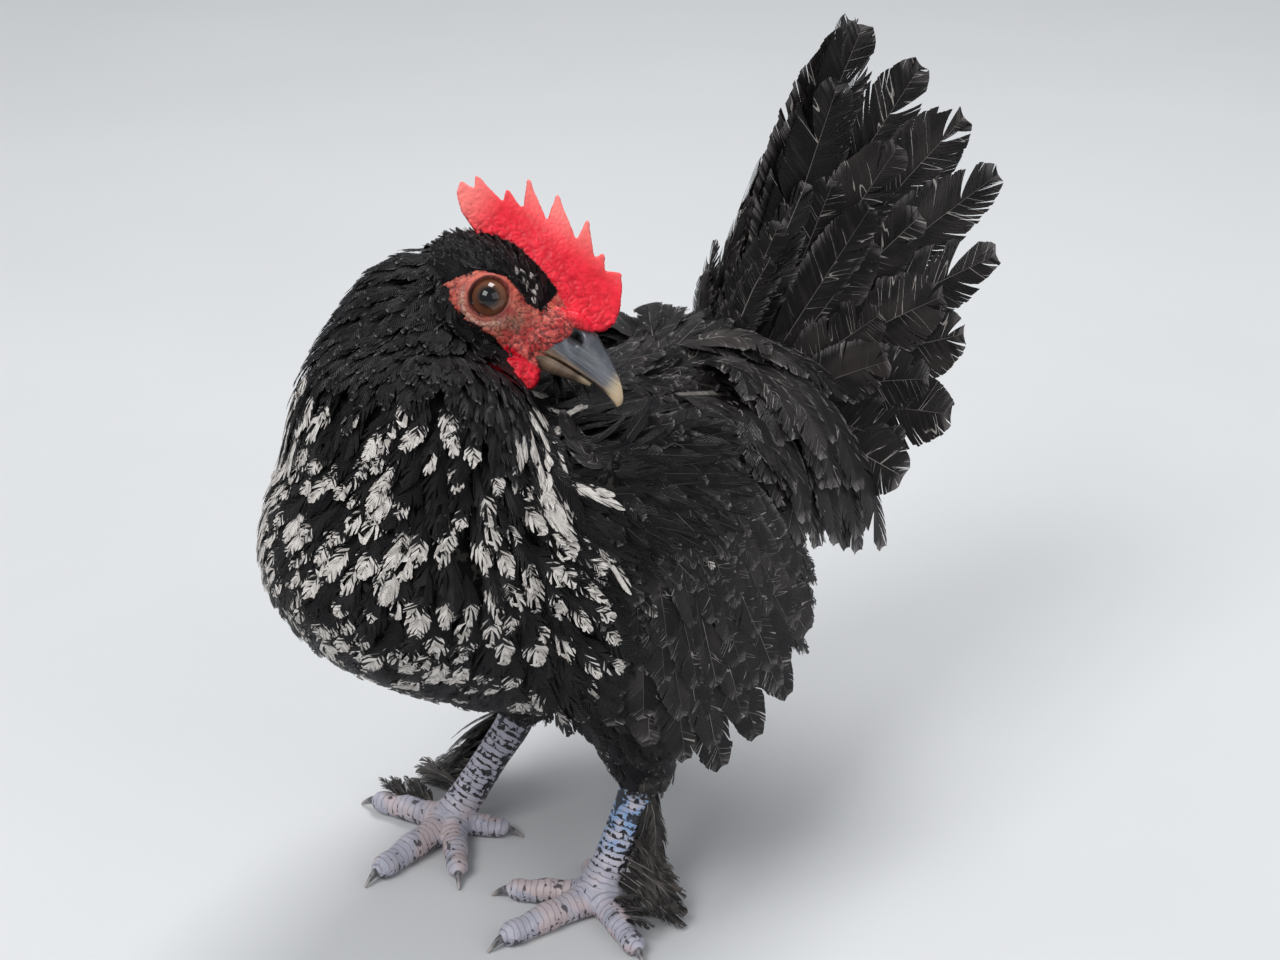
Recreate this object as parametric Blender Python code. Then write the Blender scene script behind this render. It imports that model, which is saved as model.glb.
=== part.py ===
"""A life-size bantam rooster that stands with its head turned over its left shoulder.

Metres, +Z up. The breast faces -Y and the bird's left side is +X. Each part of the
bird is one closed object. Flesh is lofted through rings, feathers are thin tapered
vanes in shingled tiers, and neighbours keep a small gap.
"""
import math
import random

import bmesh
import bpy
from mathutils import Matrix, Vector

MM = 0.001
GAP = 0.35                 # clearance between neighbouring pieces, mm
KEPT_SHARE = 0.76          # of the triangles once the slivers along seams are collapsed
LEFT, RIGHT = 1, -1
SIDES = {LEFT: "left", RIGHT: "right"}
UP = Vector((0, 0, 1))
OUT = Vector((1, 0, 0))
FORWARD = Vector((0, -1, 0))
NEARBY = 0.1               # part of a span over which a loft's direction is taken

# The head frame, in mm: forward runs along the beak, up through the comb, and side
# to the bird's right. Its origin is the middle of the head, level with the eyes.
HEAD_CENTRE = Vector((2.4, -9.0, 161.4))
HEAD_FORWARD = Vector((0.745, 0.393, -0.539)).normalized()
HEAD_UP = Vector((0.165, 0.675, 0.719)).normalized()
HEAD_SIDE = HEAD_FORWARD.cross(HEAD_UP).normalized()
EYE_OUT, EYE_RADIUS = 8.3, 3.9
LID_RADIUS, LID_THICK = 4.6, 0.9
LID_OUT = EYE_OUT + 2.6
LID_SHAPE = Matrix.Diagonal((1.05, 0.95, 1, 1))
EYE_CLEARING, EYE_CLEARING_OUT = LID_RADIUS + 2.4, EYE_OUT + 2
EAR_LOBE, EAR_LOBE_RADII = (-9.5, -5.5, 9.6), (3.6, 4.2, 1.7)

# Body stations: x, y, z, half width, height above and below the middle.
TORSO = [
    (0, -67.0, 113, 2, 2, 2),
    (0, -64.5, 112, 13, 14, 11),
    (0, -55.0, 110, 27, 30, 22),
    (0, -38.0, 106, 36, 38, 31),
    (0, -14.0, 101, 40, 42, 41),
    (0, 12.0, 98, 39, 43, 48),
    (0, 34.0, 101, 31, 37, 35),
    (0, 50.0, 107, 22, 28, 24),
    (0, 64.0, 111, 15, 20, 15),
    (0, 73.0, 113, 8, 10, 8),
    (0, 76.0, 113, 2, 2, 2),
]
NECK = [
    (0, -28, 110, 33, 34, 34),
    (-1, -28, 124, 33, 31, 32),
    (-4, -27, 138, 30, 28, 27),
    (-8, -23.5, 149, 24, 23, 22),
    (-9, -21, 159, 15.5, 16, 15),
    (-7.5, -17, 165.5, 10, 10, 10),
    (-5, -14, 166, 4, 4, 4),
]
# Head stations: forward, up, half width, height above and below.
HEAD = [
    (-17.5, 0.0, 2.5, 2.5, 2.5),
    (-15.5, 0.0, 7.0, 7.5, 7.0),
    (-10.0, 0.2, 10.6, 11.6, 10.6),
    (-3.0, 0.0, 11.6, 13.6, 11.8),
    (4.0, -0.2, 10.8, 13.2, 10.8),
    (10.5, 0.0, 8.4, 11.6, 9.4),
    (15.5, 1.0, 6.4, 9.0, 7.0),
    (18.5, 1.8, 4.9, 7.2, 5.2),
    (19.5, 2.0, 1.8, 2.5, 2.0),
]
UPPER_BEAK = [
    (14.5, 1.6, 2.6, 4.6, 1.4),
    (15.5, 1.2, 5.4, 8.2, 2.4),
    (20.0, 1.0, 5.6, 8.9, 1.9),
    (24.5, 1.1, 4.9, 8.5, 1.5),
    (29.5, 1.2, 3.9, 5.9, 1.2),
    (33.8, 0.6, 2.6, 3.8, 1.1),
    (36.8, -0.3, 1.4, 2.0, 0.9),
    (38.0, -1.0, 0.5, 0.6, 0.4),
]
LOWER_BEAK = [
    (13.0, -2.6, 2.0, 0.7, 2.0),
    (14.0, -2.2, 4.6, 0.8, 3.0),
    (18.5, -1.8, 4.9, 0.7, 3.3),
    (23.0, -1.3, 4.0, 0.6, 2.3),
    (27.5, -1.0, 2.8, 0.5, 1.2),
    (30.0, -0.9, 1.0, 0.4, 0.6),
]
MOUTH = [(10.8, -5.4), (13.0, -3.6), (16.5, -1.5), (24.0, -1.2)]
MOUTH_OPEN, MOUTH_HALF_WIDTH = 0.32, 14
NOSTRIL, NOSTRIL_RADII = (21.0, 5.8, 5.0), (1.7, 1.1, 1.5)

# The wattle hangs through forward, up, half thickness and half width, and spreads from
# its root sideways as it falls.
WATTLE = [(14.2, -4.5, 1.2, 1.2), (15.0, -6.2, 1.6, 3.6), (15.8, -8.6, 1.7, 4.5),
          (16.2, -11.2, 1.4, 3.2), (16.2, -12.4, 0.7, 1.0)]
WATTLE_OUT, WATTLE_SPREAD = 3.2, 0.22

# The comb as tips and the notch that follows each, forward and up in the head frame.
COMB_TIPS = [(-21.5, 18.5), (-19.6, 21.6), (-12.3, 23.4), (-10.0, 28.4), (-2.4, 29.5), (6.8, 28.8),
             (14.3, 24.8), (20.1, 23.7)]
COMB_NOTCHES = [(-17.6, 18.8), (-10.8, 20.4), (-6.1, 21.6), (0.0, 22.6), (8.0, 23.0),
                (13.5, 22.4), (17.0, 21.6)]
COMB_FRONT = [(23.0, 20.2), (25.0, 16.8), (25.8, 13.5), (25.0, 10.8), (22.6, 8.6)]
COMB_BASE = [(17.5, 6.0), (12.0, 6.0), (4.0, 8.5), (-6.0, 9.0), (-12.5, 11.5), (-17.3, 13.1),
             (-20.6, 15.6)]
COMB_THICK_BASE, COMB_THICK_TIP = 5.2, 1.3
COMB_LOW, COMB_HIGH = 8.0, 24.0
COMB_FOLD_PITCH, COMB_FOLD = 5.0, 0.9
COMB_LEAN = Vector((0.5, 0))
COMB_LONGEST_EDGE = 7

# Legs: where the left and the right one stand, bend and start.
PADS = {LEFT: (25.4, 2.2), RIGHT: (26.1, -2.4)}
HOCKS = {LEFT: (26.0, 18.0, 33.0), RIGHT: (20.5, 19.5, 33.0)}
HIPS = {LEFT: (25.0, 13.0, 62.0), RIGHT: (24.0, 12.0, 62.0)}

# Thigh stations as shares of the way from hip to hock and radii, then shank stations
# as shares of the way from hock to pad.
THIGH_TOP, THIGH_TOP_RADII = Vector((0, 0, 8)), (12, 13, 13)
THIGH = [(0, 15, 16, 16), (0.45, 11.5, 12, 12.5), (0.8, 8.3, 8.6, 9), (1.08, 6.4, 6.6, 6.6),
         (1.14, 3, 3, 3)]
SHANK_TOP, SHANK_TOP_RADII = Vector((0, 1, 5)), (4.8, 4.8, 5.2)
SHANK = [(0.15, 4.7, 4.8, 5.4), (0.45, 4.4, 4.4, 5.0), (0.75, 4.6, 4.6, 5.0),
         (0.98, 5.6, 5.0, 5.4)]
SCUTES_ON_SHANK, SHANK_SCUTE_RISE = 8, 0.1

# Toes from the pad as length, turn outwards from straight ahead in degrees, and radius
# at the root and at the tip, then joints as shares of the length and how far they swell.
PAD_RADIUS, PAD_HEIGHT, PAD_RADII = 6.6, 4.2, (6.6, 7.2, 5.2)
TOES = [(29.0, -7.5, 4.3, 2.9), (23.0, -53.0, 3.9, 2.6), (24.0, 70.5, 4.0, 2.7),
        (14.5, -126.0, 3.4, 2.4)]
TOE_JOINTS = [(0, 1), (0.3, 0.94), (0.5, 1.04), (0.72, 0.95), (0.9, 1.05), (1, 0.62)]
TOE_START, TOE_HEIGHT = 3.0, 3.3
SCUTES_ON_TOE, TOE_SCUTE_RISE = 5, 0.12
CLAW_LENGTH, CLAW_RADIUS, CLAW_SUNK = 6.0, 1.7, 1.5
CLAW_STATIONS = (0, 0.35, 0.7, 1)
CLAW_TIP_RADIUS, CLAW_ARCH, CLAW_FALL = 0.35, 0.5, 1.3

# The wing's fleshy core, its lean back and its splay in degrees, and the feather tiers
# of the left wing. A tier is count, how far down the core it roots and how wide, how far
# it stands off, the row of points that its tips follow from front to rear, and width.
WING_CORE = Vector((42.0, 11.0, 112.0))
WING_CORE_RADII = (5.6, 25.0, 30.0)
WING_LEAN, WING_SPLAY = 21.0, -6.0
WING_TIERS = [
    (10, 7.0, 20.0, -1.6,
     [(46, -11, 68), (48, 0, 55), (50, 14, 45), (50, 31, 43), (49, 46, 50), (47, 55.5, 63),
      (45, 57, 78)], 16.0),
    (8, -6.0, 18.0, 1.2,
     [(46, -12, 87), (49, 3, 74), (50, 20, 70), (49, 37, 77), (46, 48, 92)], 16.0),
    (6, -15.0, 14.0, 3.4,
     [(44, -12, 108), (47, 3, 98), (48, 19, 95), (45, 39, 103)], 15.0),
    (5, -22.0, 8.0, 3.8, [(44, -5, 127), (47, 9, 117), (45, 27, 116)], 12.0),
]
WING_BOW = Vector((3.0, 0.0, 0.0))
WING_ROWS, WING_ROOT_SHARE = 3, 0.2
WING_SCATTER = Vector((0, 0.8, 1.5))

# Every vane: its turn about the shaft, thickness, share of its width at the tip, where
# along it is widest, how round it narrows, how far its edges sink and its tip stands out.
VANE_TILT = math.radians(6)
VANE_THICK = 0.6
VANE_END, VANE_FULLEST, VANE_ROUNDNESS = 0.5, 0.55, 0.7
VANE_CAMBER, VANE_POINT = 0.08, 0.2

# The rump that the tail grows from, then the tail's feathers of the left half. A group
# is its roots and tips from first to last, count, bow, way it faces, width and rows.
RUMP, RUMP_RADII = Vector((0, 74, 117)), (15, 11, 14)
SADDLE, SADDLE_RADII = Vector((0, 59, 123)), (19, 16, 13)
TAIL_ROOT_SHARE, TAIL_SCATTER = 0.16, 0.06
TAIL_GROUPS = [
    ([(1, 77, 123), (9, 80, 107)],
     [(3, 120, 202), (9, 137, 186), (16, 151, 169), (24, 154, 149), (31, 134, 127),
      (38, 119, 107), (43, 96, 96)], 7, Vector((0, -2, 4)), Vector((1, -0.2, 0.25)), 25.0, 4),
    ([(8, 77, 124), (13, 79, 113)], [(11, 104, 172), (24, 119, 153), (36, 108, 120)], 3,
     Vector((3, -2, 3)), Vector((1, -0.3, 0.4)), 19.0, 3),
    ([(3, 66, 126), (4, 72, 126)], [(8, 70, 143), (8, 86, 162)], 2,
     Vector((0, -2, 1)), Vector((0.5, -1, 0.4)), 12.0, 3),
    ([(15, 52, 124), (17, 72, 122)],
     [(38, 51, 112), (40, 60, 102), (41, 69, 94), (41, 78, 86), (41, 89, 80)], 6,
     Vector((6, 5, 13)), Vector((0.9, 0.2, 0.6)), 11.0, 4),
    ([(11, 55, 131), (10, 68, 130)], [(34, 53, 123), (37, 64, 114), (38, 77, 104)], 3,
     Vector((5, 3, 9)), Vector((0.8, 0.1, 0.8)), 10.0, 3),
    ([(5, 76, 106), (10, 74, 106)], [(12, 93, 83), (22, 85, 72)], 2,
     Vector((2, 5, 0)), Vector((0.6, 1, 0.2)), 15.0, 3),
]

# Leg feathers: roots as shares of the way from hock to pad, tips from the pad, and width.
LEG_FEATHERS = [(0.2, (13, 17, 17), 8), (0.4, (17, 15, 11), 8), (0.6, (21, 13, 7), 8),
                (0.8, (25, 9, 4.5), 8)]
LEG_FEATHER_ROOT = Vector((2.2, 1.2, 0))
LEG_FEATHER_BOW, LEG_FEATHER_FACING = Vector((1.5, 0, 2.5)), Vector((0.8, -0.4, 0.8))
LEG_ROWS, LEG_ROOT_SHARE = 2, 0.3


def clear_scene():
    for obj in list(bpy.data.objects):
        bpy.data.objects.remove(obj, do_unlink=True)


def collection_named(name):
    made = bpy.data.collections.new(name)
    bpy.context.scene.collection.children.link(made)
    return made


clear_scene()
ROOSTER = collection_named("rooster")
HELPERS = collection_named("helpers")
HELPERS.hide_render = True


def material(name, colour, roughness):
    made = bpy.data.materials.new(name)
    made.use_nodes = True
    shader = made.node_tree.nodes["Principled BSDF"]
    shader.inputs["Base Color"].default_value = (*colour, 1)
    shader.inputs["Roughness"].default_value = roughness
    shader.inputs["Metallic"].default_value = 0
    return made


BLACK_PLUMAGE = material("black_plumage", (0.012, 0.011, 0.013), 0.55)
MOTTLED_PLUMAGE = material("mottled_plumage", (0.16, 0.15, 0.145), 0.6)
RED_SKIN = material("red_skin", (0.72, 0.02, 0.04), 0.45)
BEAK_HORN = material("beak_horn", (0.07, 0.065, 0.07), 0.3)
EYE_BROWN = material("eye_brown", (0.05, 0.02, 0.012), 0.05)
LEG_SCALE = material("leg_scale", (0.36, 0.37, 0.43), 0.45)
CLAW_HORN = material("claw_horn", (0.2, 0.19, 0.2), 0.35)


def object_from(bm):
    """A working object from a bmesh in mm."""
    bmesh.ops.recalc_face_normals(bm, faces=bm.faces)
    mesh = bpy.data.meshes.new("work")
    bm.to_mesh(mesh)
    bm.free()
    made = bpy.data.objects.new("work", mesh)
    HELPERS.objects.link(made)
    return made


def edit(obj, change):
    """Runs change on obj's bmesh and puts the outcome back."""
    bm = bmesh.new()
    bm.from_mesh(obj.data)
    change(bm)
    bm.to_mesh(obj.data)
    bm.free()
    return obj


def between(stations, spot):
    """The Catmull-Rom value at spot, which counts stations from 0."""
    last = len(stations) - 1
    i = min(int(spot), last - 1)
    t = spot - i
    near = [stations[max(0, min(last, k))] for k in (i - 1, i, i + 1, i + 2)]
    weights = (
        -0.5 * t + t * t - 0.5 * t ** 3,
        1 - 2.5 * t * t + 1.5 * t ** 3,
        0.5 * t + 2 * t * t - 1.5 * t ** 3,
        -0.5 * t * t + 0.5 * t ** 3,
    )
    return Vector([sum(w * s[k] for w, s in zip(weights, near)) for k in range(len(near[0]))])


def ring_edges(ring):
    inside = set(ring)
    edges = {edge for vert in ring for edge in vert.link_edges}
    return [edge for edge in edges if edge.verts[0] in inside and edge.verts[1] in inside]


def lofted(stations, sides, steps, above_hint, swell=None):
    """A closed body through stations, with steps rings to each span.

    A station is x, y, z, half width, height above and height below. swell gives the
    share that a ring's upper side grows to at a share of the way along.
    """
    bm = bmesh.new()
    last = len(stations) - 1
    rings = []
    for k in range(last * steps + 1):
        spot = k / steps
        x, y, z, width, top, bottom = between(stations, spot)
        before = between(stations, max(0, spot - NEARBY)).xyz
        after = between(stations, min(last, spot + NEARBY)).xyz
        along = (after - before).normalized()
        across = along.cross(above_hint).normalized()
        above = across.cross(along).normalized()
        grow = swell(spot / last) if swell else 1
        ring = bmesh.ops.create_circle(bm, cap_ends=False, radius=1, segments=sides)["verts"]
        for vert in ring:
            u, v = vert.co.x, vert.co.y
            rise = top * grow if v > 0 else bottom
            vert.co = Vector((x, y, z)) + across * (u * width * (grow + 1) / 2) + above * (v * rise)
        rings.append(ring)
    loops = [ring_edges(ring) for ring in rings]
    for first, second in zip(loops, loops[1:]):
        bmesh.ops.bridge_loops(bm, edges=first + second)
    for loop in (loops[0], loops[-1]):
        bmesh.ops.contextual_create(bm, geom=loop)
    bmesh.ops.triangulate(bm, faces=bm.faces)
    return object_from(bm)


def ball(centre, radii, turn=None, segments=14, rings=8):
    bm = bmesh.new()
    bmesh.ops.create_uvsphere(bm, u_segments=segments, v_segments=rings, radius=1)
    shape = Matrix.Diagonal((*radii, 1))
    bm.transform(Matrix.Translation(Vector(centre)) @ (turn or Matrix.Identity(4)) @ shape)
    return object_from(bm)


def apply_modifiers(obj):
    graph = bpy.context.evaluated_depsgraph_get()
    graph.update()
    mesh = bpy.data.meshes.new_from_object(obj.evaluated_get(graph))
    obj.modifiers.clear()
    obj.data = mesh


def boolean(target, others, operation):
    """Applies one Boolean between target and the others, then removes them."""
    operands = bpy.data.collections.new("operands")
    bpy.context.scene.collection.children.link(operands)
    for other in others:
        operands.objects.link(other)
    modifier = target.modifiers.new("boolean", "BOOLEAN")
    modifier.operation = operation
    modifier.operand_type = "COLLECTION"
    modifier.collection = operands
    modifier.solver = "MANIFOLD"
    apply_modifiers(target)
    for other in others:
        bpy.data.objects.remove(other, do_unlink=True)
    bpy.data.collections.remove(operands)
    keep_largest(target)
    return target


def joined(pieces):
    return boolean(pieces[0], pieces[1:], "UNION")


def keep_largest(obj):
    """Leaves only the largest closed surface of obj."""
    bm = bmesh.new()
    bm.from_mesh(obj.data)
    bmesh.ops.triangulate(bm, faces=bm.faces)
    left = set(bm.faces)
    shells = []
    while left:
        stack = [left.pop()]
        shell = list(stack)
        while stack:
            for edge in stack.pop().edges:
                for face in edge.link_faces:
                    if face in left:
                        left.remove(face)
                        stack.append(face)
                        shell.append(face)
        shells.append(shell)
    shells.sort(key=enclosed_volume, reverse=True)
    scraps = [face for shell in shells[1:] for face in shell]
    bmesh.ops.delete(bm, geom=scraps, context="FACES")
    loose = [vert for vert in bm.verts if not vert.link_faces]
    bmesh.ops.delete(bm, geom=loose, context="VERTS")
    bm.to_mesh(obj.data)
    bm.free()


def enclosed_volume(shell):
    corners = ([vert.co for vert in face.verts] for face in shell)
    return sum(a.dot(b.cross(c)) for a, b, c in corners) / 6


def inflated(obj):
    """A copy of obj with its surface moved out, to cut a neighbour with."""
    copy = bpy.data.objects.new("cutter", obj.data.copy())
    HELPERS.objects.link(copy)

    def grow(bm):
        bm.normal_update()
        moves = [(vert, vert.normal * GAP * vert.calc_shell_factor()) for vert in bm.verts]
        for vert, move in moves:
            vert.co += move

    return edit(copy, grow)


def fitted(obj, neighbours):
    """Cuts obj back from each neighbour by the gap."""
    for neighbour in neighbours:
        boolean(obj, [inflated(neighbour)], "DIFFERENCE")
    return obj


def on_floor(obj):
    """Flattens what would reach below the floor."""
    def press(bm):
        for vert in bm.verts:
            vert.co.z = max(0.0, vert.co.z)

    return edit(obj, press)


def handed(obj, side):
    """Turns a left-hand shape into a right-hand one where the side asks for it."""
    def flip(bm):
        bmesh.ops.scale(bm, vec=(-1, 1, 1), verts=bm.verts)
        bmesh.ops.reverse_faces(bm, faces=bm.faces)

    return edit(obj, flip) if side == RIGHT else obj


def head_point(forward, up, side=0.0):
    return HEAD_CENTRE + HEAD_FORWARD * forward + HEAD_UP * up + HEAD_SIDE * side


def head_loft(stations, sides, steps):
    placed = [(*head_point(forward, up), *sizes) for forward, up, *sizes in stations]
    return lofted(placed, sides, steps, HEAD_UP)


def head_turn():
    """Turns a shape's x, y, z to the head's forward, up and side."""
    turn = Matrix((HEAD_FORWARD, HEAD_UP, HEAD_SIDE)).transposed()
    return turn.to_4x4()


def vane_share(t, base):
    """The share of its full width that a vane has at t of its length."""
    if t < VANE_FULLEST:
        return base + (1 - base) * math.sin(math.pi / 2 * t / VANE_FULLEST)
    fall = math.cos(math.pi / 2 * (t - VANE_FULLEST) / (1 - VANE_FULLEST))
    return VANE_END + (1 - VANE_END) * fall ** VANE_ROUNDNESS


def vane(root, tip, bow, outward, width, rows, base):
    """A feather vane from root to tip along a bowed line, facing outward, as a closed plate.

    width is its full width and base the share of it at the root. The vane is turned a
    little about its shaft so that neighbours overlap like shingles.
    """
    bm = bmesh.new()
    bmesh.ops.create_grid(bm, x_segments=2, y_segments=rows, size=1)
    middle = (root + tip) / 2 + bow
    for vert in bm.verts:
        u, t = vert.co.x, (vert.co.y + 1) / 2
        centre = root * (1 - t) ** 2 + middle * (2 * t * (1 - t)) + tip * t ** 2
        along = ((middle - root) * (1 - t) + (tip - middle) * t).normalized()
        across = along.cross(outward).normalized()
        facing = across.cross(along).normalized()
        turned = across * math.cos(VANE_TILT) + facing * math.sin(VANE_TILT)
        raised = facing * math.cos(VANE_TILT) - across * math.sin(VANE_TILT)
        half = width / 2 * vane_share(t, base)
        back = abs(u) * width * VANE_POINT if t > 0.99 else 0
        sunk = abs(u) * half * VANE_CAMBER
        vert.co = centre + turned * (u * half) - raised * sunk - along * back
    bmesh.ops.triangulate(bm, faces=bm.faces)
    bmesh.ops.solidify(bm, geom=bm.faces[:], thickness=VANE_THICK)
    return object_from(bm)


def make_torso():
    return lofted(TORSO, 22, 2, UP)


def make_neck():
    return lofted(NECK, 20, 2, FORWARD)


def eye_place(side, out=EYE_OUT):
    return head_point(0, 0, -side * out)


def eye_clearings():
    """The room in front of each eye that the neck's feathers leave."""
    return [ball(eye_place(side, EYE_CLEARING_OUT), (EYE_CLEARING,) * 3, None, 10, 8)
            for side in SIDES]


def make_lid(side):
    """A raised ring of skin round the eye."""
    bm = bmesh.new()
    ring = bmesh.ops.create_circle(bm, cap_ends=False, radius=LID_THICK, segments=4)["verts"]
    bmesh.ops.translate(bm, vec=(LID_RADIUS, 0, 0), verts=ring)
    bmesh.ops.rotate(bm, matrix=Matrix.Rotation(math.pi / 2, 3, "X"), verts=ring)
    bmesh.ops.spin(bm, geom=bm.verts[:] + bm.edges[:], axis=(0, 0, 1), cent=(0, 0, 0),
                   angle=2 * math.pi, steps=14, use_merge=True)
    bmesh.ops.remove_doubles(bm, verts=bm.verts, dist=0.001)
    bm.transform(Matrix.Translation(eye_place(side, LID_OUT)) @ head_turn() @ LID_SHAPE)
    return object_from(bm)


def make_skull():
    """The head without its openings, which its neighbours are cut back from."""
    return head_loft(HEAD, 16, 2)


def make_head(neck):
    head = make_skull()
    forward, up, out = EAR_LOBE
    lobes = [ball(head_point(forward, up, side * out), EAR_LOBE_RADII, head_turn(), 10, 6)
             for side in SIDES]
    head = joined([head, *lobes, *[make_lid(side) for side in SIDES]])
    sockets = [ball(eye_place(side), (EYE_RADIUS + GAP,) * 3, head_turn(), 12, 8) for side in SIDES]
    blade = [(*head_point(*point), MOUTH_HALF_WIDTH, MOUTH_OPEN, MOUTH_OPEN) for point in MOUTH]
    mouth = lofted(blade, 6, 1, HEAD_UP)
    boolean(head, [*sockets, mouth], "DIFFERENCE")
    return fitted(head, [neck])


def make_eye(side):
    return ball(eye_place(side), (EYE_RADIUS,) * 3, head_turn(), 14, 8)


def make_culmen():
    """The upper beak without its nostrils, which its neighbours are cut back from."""
    return head_loft(UPPER_BEAK, 10, 2)


def make_upper_beak(skull):
    forward, up, out = NOSTRIL
    holes = [ball(head_point(forward, up, side * out), NOSTRIL_RADII, head_turn(), 6, 5)
             for side in SIDES]
    return fitted(boolean(make_culmen(), holes, "DIFFERENCE"), [skull])


def make_lower_beak(skull, culmen):
    return fitted(head_loft(LOWER_BEAK, 10, 2), [skull, culmen])


def comb_outline():
    """The comb's rim from its rear tip over the points to the front and back along the base."""
    rim = []
    for k, tip in enumerate(COMB_TIPS):
        tip = Vector(tip)
        if k:
            notch = Vector(COMB_NOTCHES[k - 1])
            rim += [notch, notch.lerp(tip, 0.75) - COMB_LEAN]
        rim.append(tip)
        if k < len(COMB_NOTCHES):
            rim.append(tip.lerp(Vector(COMB_NOTCHES[k]), 0.3) + COMB_LEAN)
    return rim + [Vector(point) for point in COMB_FRONT + COMB_BASE]


def make_comb(skull, culmen):
    bm = bmesh.new()
    rim = [bm.verts.new((*point, 0)) for point in comb_outline()]
    edges = [bm.edges.new(pair) for pair in zip(rim, rim[1:] + rim[:1])]
    bmesh.ops.contextual_create(bm, geom=edges)
    bmesh.ops.triangulate(bm, faces=bm.faces, ngon_method="EAR_CLIP")
    long_edges = [edge for edge in bm.edges if edge.calc_length() > COMB_LONGEST_EDGE]
    bmesh.ops.subdivide_edges(bm, edges=long_edges, cuts=1)
    bmesh.ops.triangulate(bm, faces=bm.faces)
    bmesh.ops.solidify(bm, geom=bm.faces[:], thickness=1)
    for vert in bm.verts:
        forward, up, side = vert.co
        rise = max(0.0, min(1.0, (up - COMB_LOW) / (COMB_HIGH - COMB_LOW)))
        half = (COMB_THICK_BASE * (1 - rise) + COMB_THICK_TIP * rise) / 2
        sway = COMB_FOLD * math.sin(forward / COMB_FOLD_PITCH) * rise
        side = (half if side > -0.5 else -half) + sway
        vert.co = head_point(forward, up, side)
    return fitted(object_from(bm), [skull, culmen])


def make_wattle(side, neighbours):
    """A small lobe under the corner of the mouth, still short on a young bird."""
    placed = []
    for forward, up, thick, width in WATTLE:
        out = WATTLE_OUT - WATTLE_SPREAD * up
        placed.append((*head_point(forward, up, -side * out), thick, width, width))
    return fitted(lofted(placed, 10, 2, HEAD_FORWARD), neighbours)


def make_thigh(side, torso):
    hip, hock = Vector(HIPS[side]), Vector(HOCKS[side])
    stations = [(*(hip + THIGH_TOP), *THIGH_TOP_RADII)]
    stations += [(*hip.lerp(hock, share), *radii) for share, *radii in THIGH]
    return fitted(handed(lofted(stations, 12, 2, FORWARD), side), [torso])


def scuted(count, rise):
    """Rings swell along each of count scutes and drop at its end, like roof tiles."""
    return lambda share: 1 + rise * ((share * count) % 1.0)


def pad_centre(side):
    x, y = PADS[side]
    return Vector((x, y, PAD_HEIGHT))


def make_shank_core(side):
    pad, hock = pad_centre(side), Vector(HOCKS[side])
    stations = [(*(hock + SHANK_TOP), *SHANK_TOP_RADII)]
    stations += [(*hock.lerp(pad, share), *radii) for share, *radii in SHANK]
    return lofted(stations, 10, 4, FORWARD, scuted(SCUTES_ON_SHANK, SHANK_SCUTE_RISE))


def make_shank(side, core, thigh):
    """The scaled shank with the fringe of feathers on its outer side."""
    pad, hock = pad_centre(side), Vector(HOCKS[side])
    pieces = [core]
    for share, reach, width in LEG_FEATHERS:
        root = hock.lerp(pad, share) + LEG_FEATHER_ROOT
        tip = Vector((pad.x, pad.y, 0)) + Vector(reach)
        pieces.append(vane(root, tip, LEG_FEATHER_BOW, LEG_FEATHER_FACING, width, LEG_ROWS,
                           LEG_ROOT_SHARE))
    return fitted(handed(joined(pieces), side), [thigh])


def toe_direction(turn):
    angle = math.radians(turn)
    return Vector((math.sin(angle), -math.cos(angle), 0))


def make_foot(side, shank):
    pad = pad_centre(side)
    foot = ball(pad, PAD_RADII, None, 12, 8)
    return fitted(on_floor(handed(foot, side)), [shank])


def make_toe(side, toe, neighbours):
    length, turn, thick, thin = toe
    ahead = toe_direction(turn)
    root = pad_centre(side) + ahead * (PAD_RADIUS - TOE_START)
    root.z = TOE_HEIGHT
    reach = length - PAD_RADIUS + TOE_START
    stations = []
    for share, swell in TOE_JOINTS:
        radius = (thick + (thin - thick) * share) * swell
        spot = root + ahead * (reach * share)
        spot.z = min(TOE_HEIGHT, radius * 0.9)
        stations.append((*spot, radius, radius * 1.05, radius))
    scales = scuted(SCUTES_ON_TOE, TOE_SCUTE_RISE)
    made = on_floor(handed(lofted(stations, 8, 1, UP, scales), side))
    return fitted(made, neighbours)


def make_claw(side, toe, own_toe):
    length, turn, _, thin = toe
    ahead = toe_direction(turn)
    start = pad_centre(side) + ahead * (length - CLAW_SUNK)
    start.z = thin
    stations = []
    for share in CLAW_STATIONS:
        spot = start + ahead * (CLAW_LENGTH * share)
        spot.z = start.z - (start.z - CLAW_TIP_RADIUS / 2) * share ** CLAW_FALL
        spot.z += CLAW_ARCH * math.sin(math.pi * share)
        radius = CLAW_RADIUS * (1 - share) + CLAW_TIP_RADIUS * share
        stations.append((*spot, radius * 0.8, radius, radius))
    return fitted(on_floor(handed(lofted(stations, 6, 1, UP), side)), [own_toe])


def along_points(points, share):
    return between(points, share * (len(points) - 1))


def make_wing(side, neighbours):
    turn = (Matrix.Rotation(math.radians(WING_SPLAY), 4, "Y")
            @ Matrix.Rotation(math.radians(WING_LEAN), 4, "X"))
    down, back = turn @ Vector((0, 0, -1)), turn @ Vector((0, 1, 0))
    pieces = [ball(WING_CORE, WING_CORE_RADII, turn, 12, 7)]
    draw = random.Random(11 + side)
    for count, low, spread, off, tips, width in WING_TIERS:
        for k in range(count):
            share = k / (count - 1)
            root = WING_CORE + down * low + back * (spread * (2 * share - 1)) + OUT * off
            tip = along_points(tips, share) + OUT * off
            tip += Vector([reach * draw.uniform(-1, 1) for reach in WING_SCATTER])
            pieces.append(vane(root, tip, WING_BOW, OUT, width, WING_ROWS, WING_ROOT_SHARE))
    return fitted(handed(joined(pieces), side), neighbours)


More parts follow.
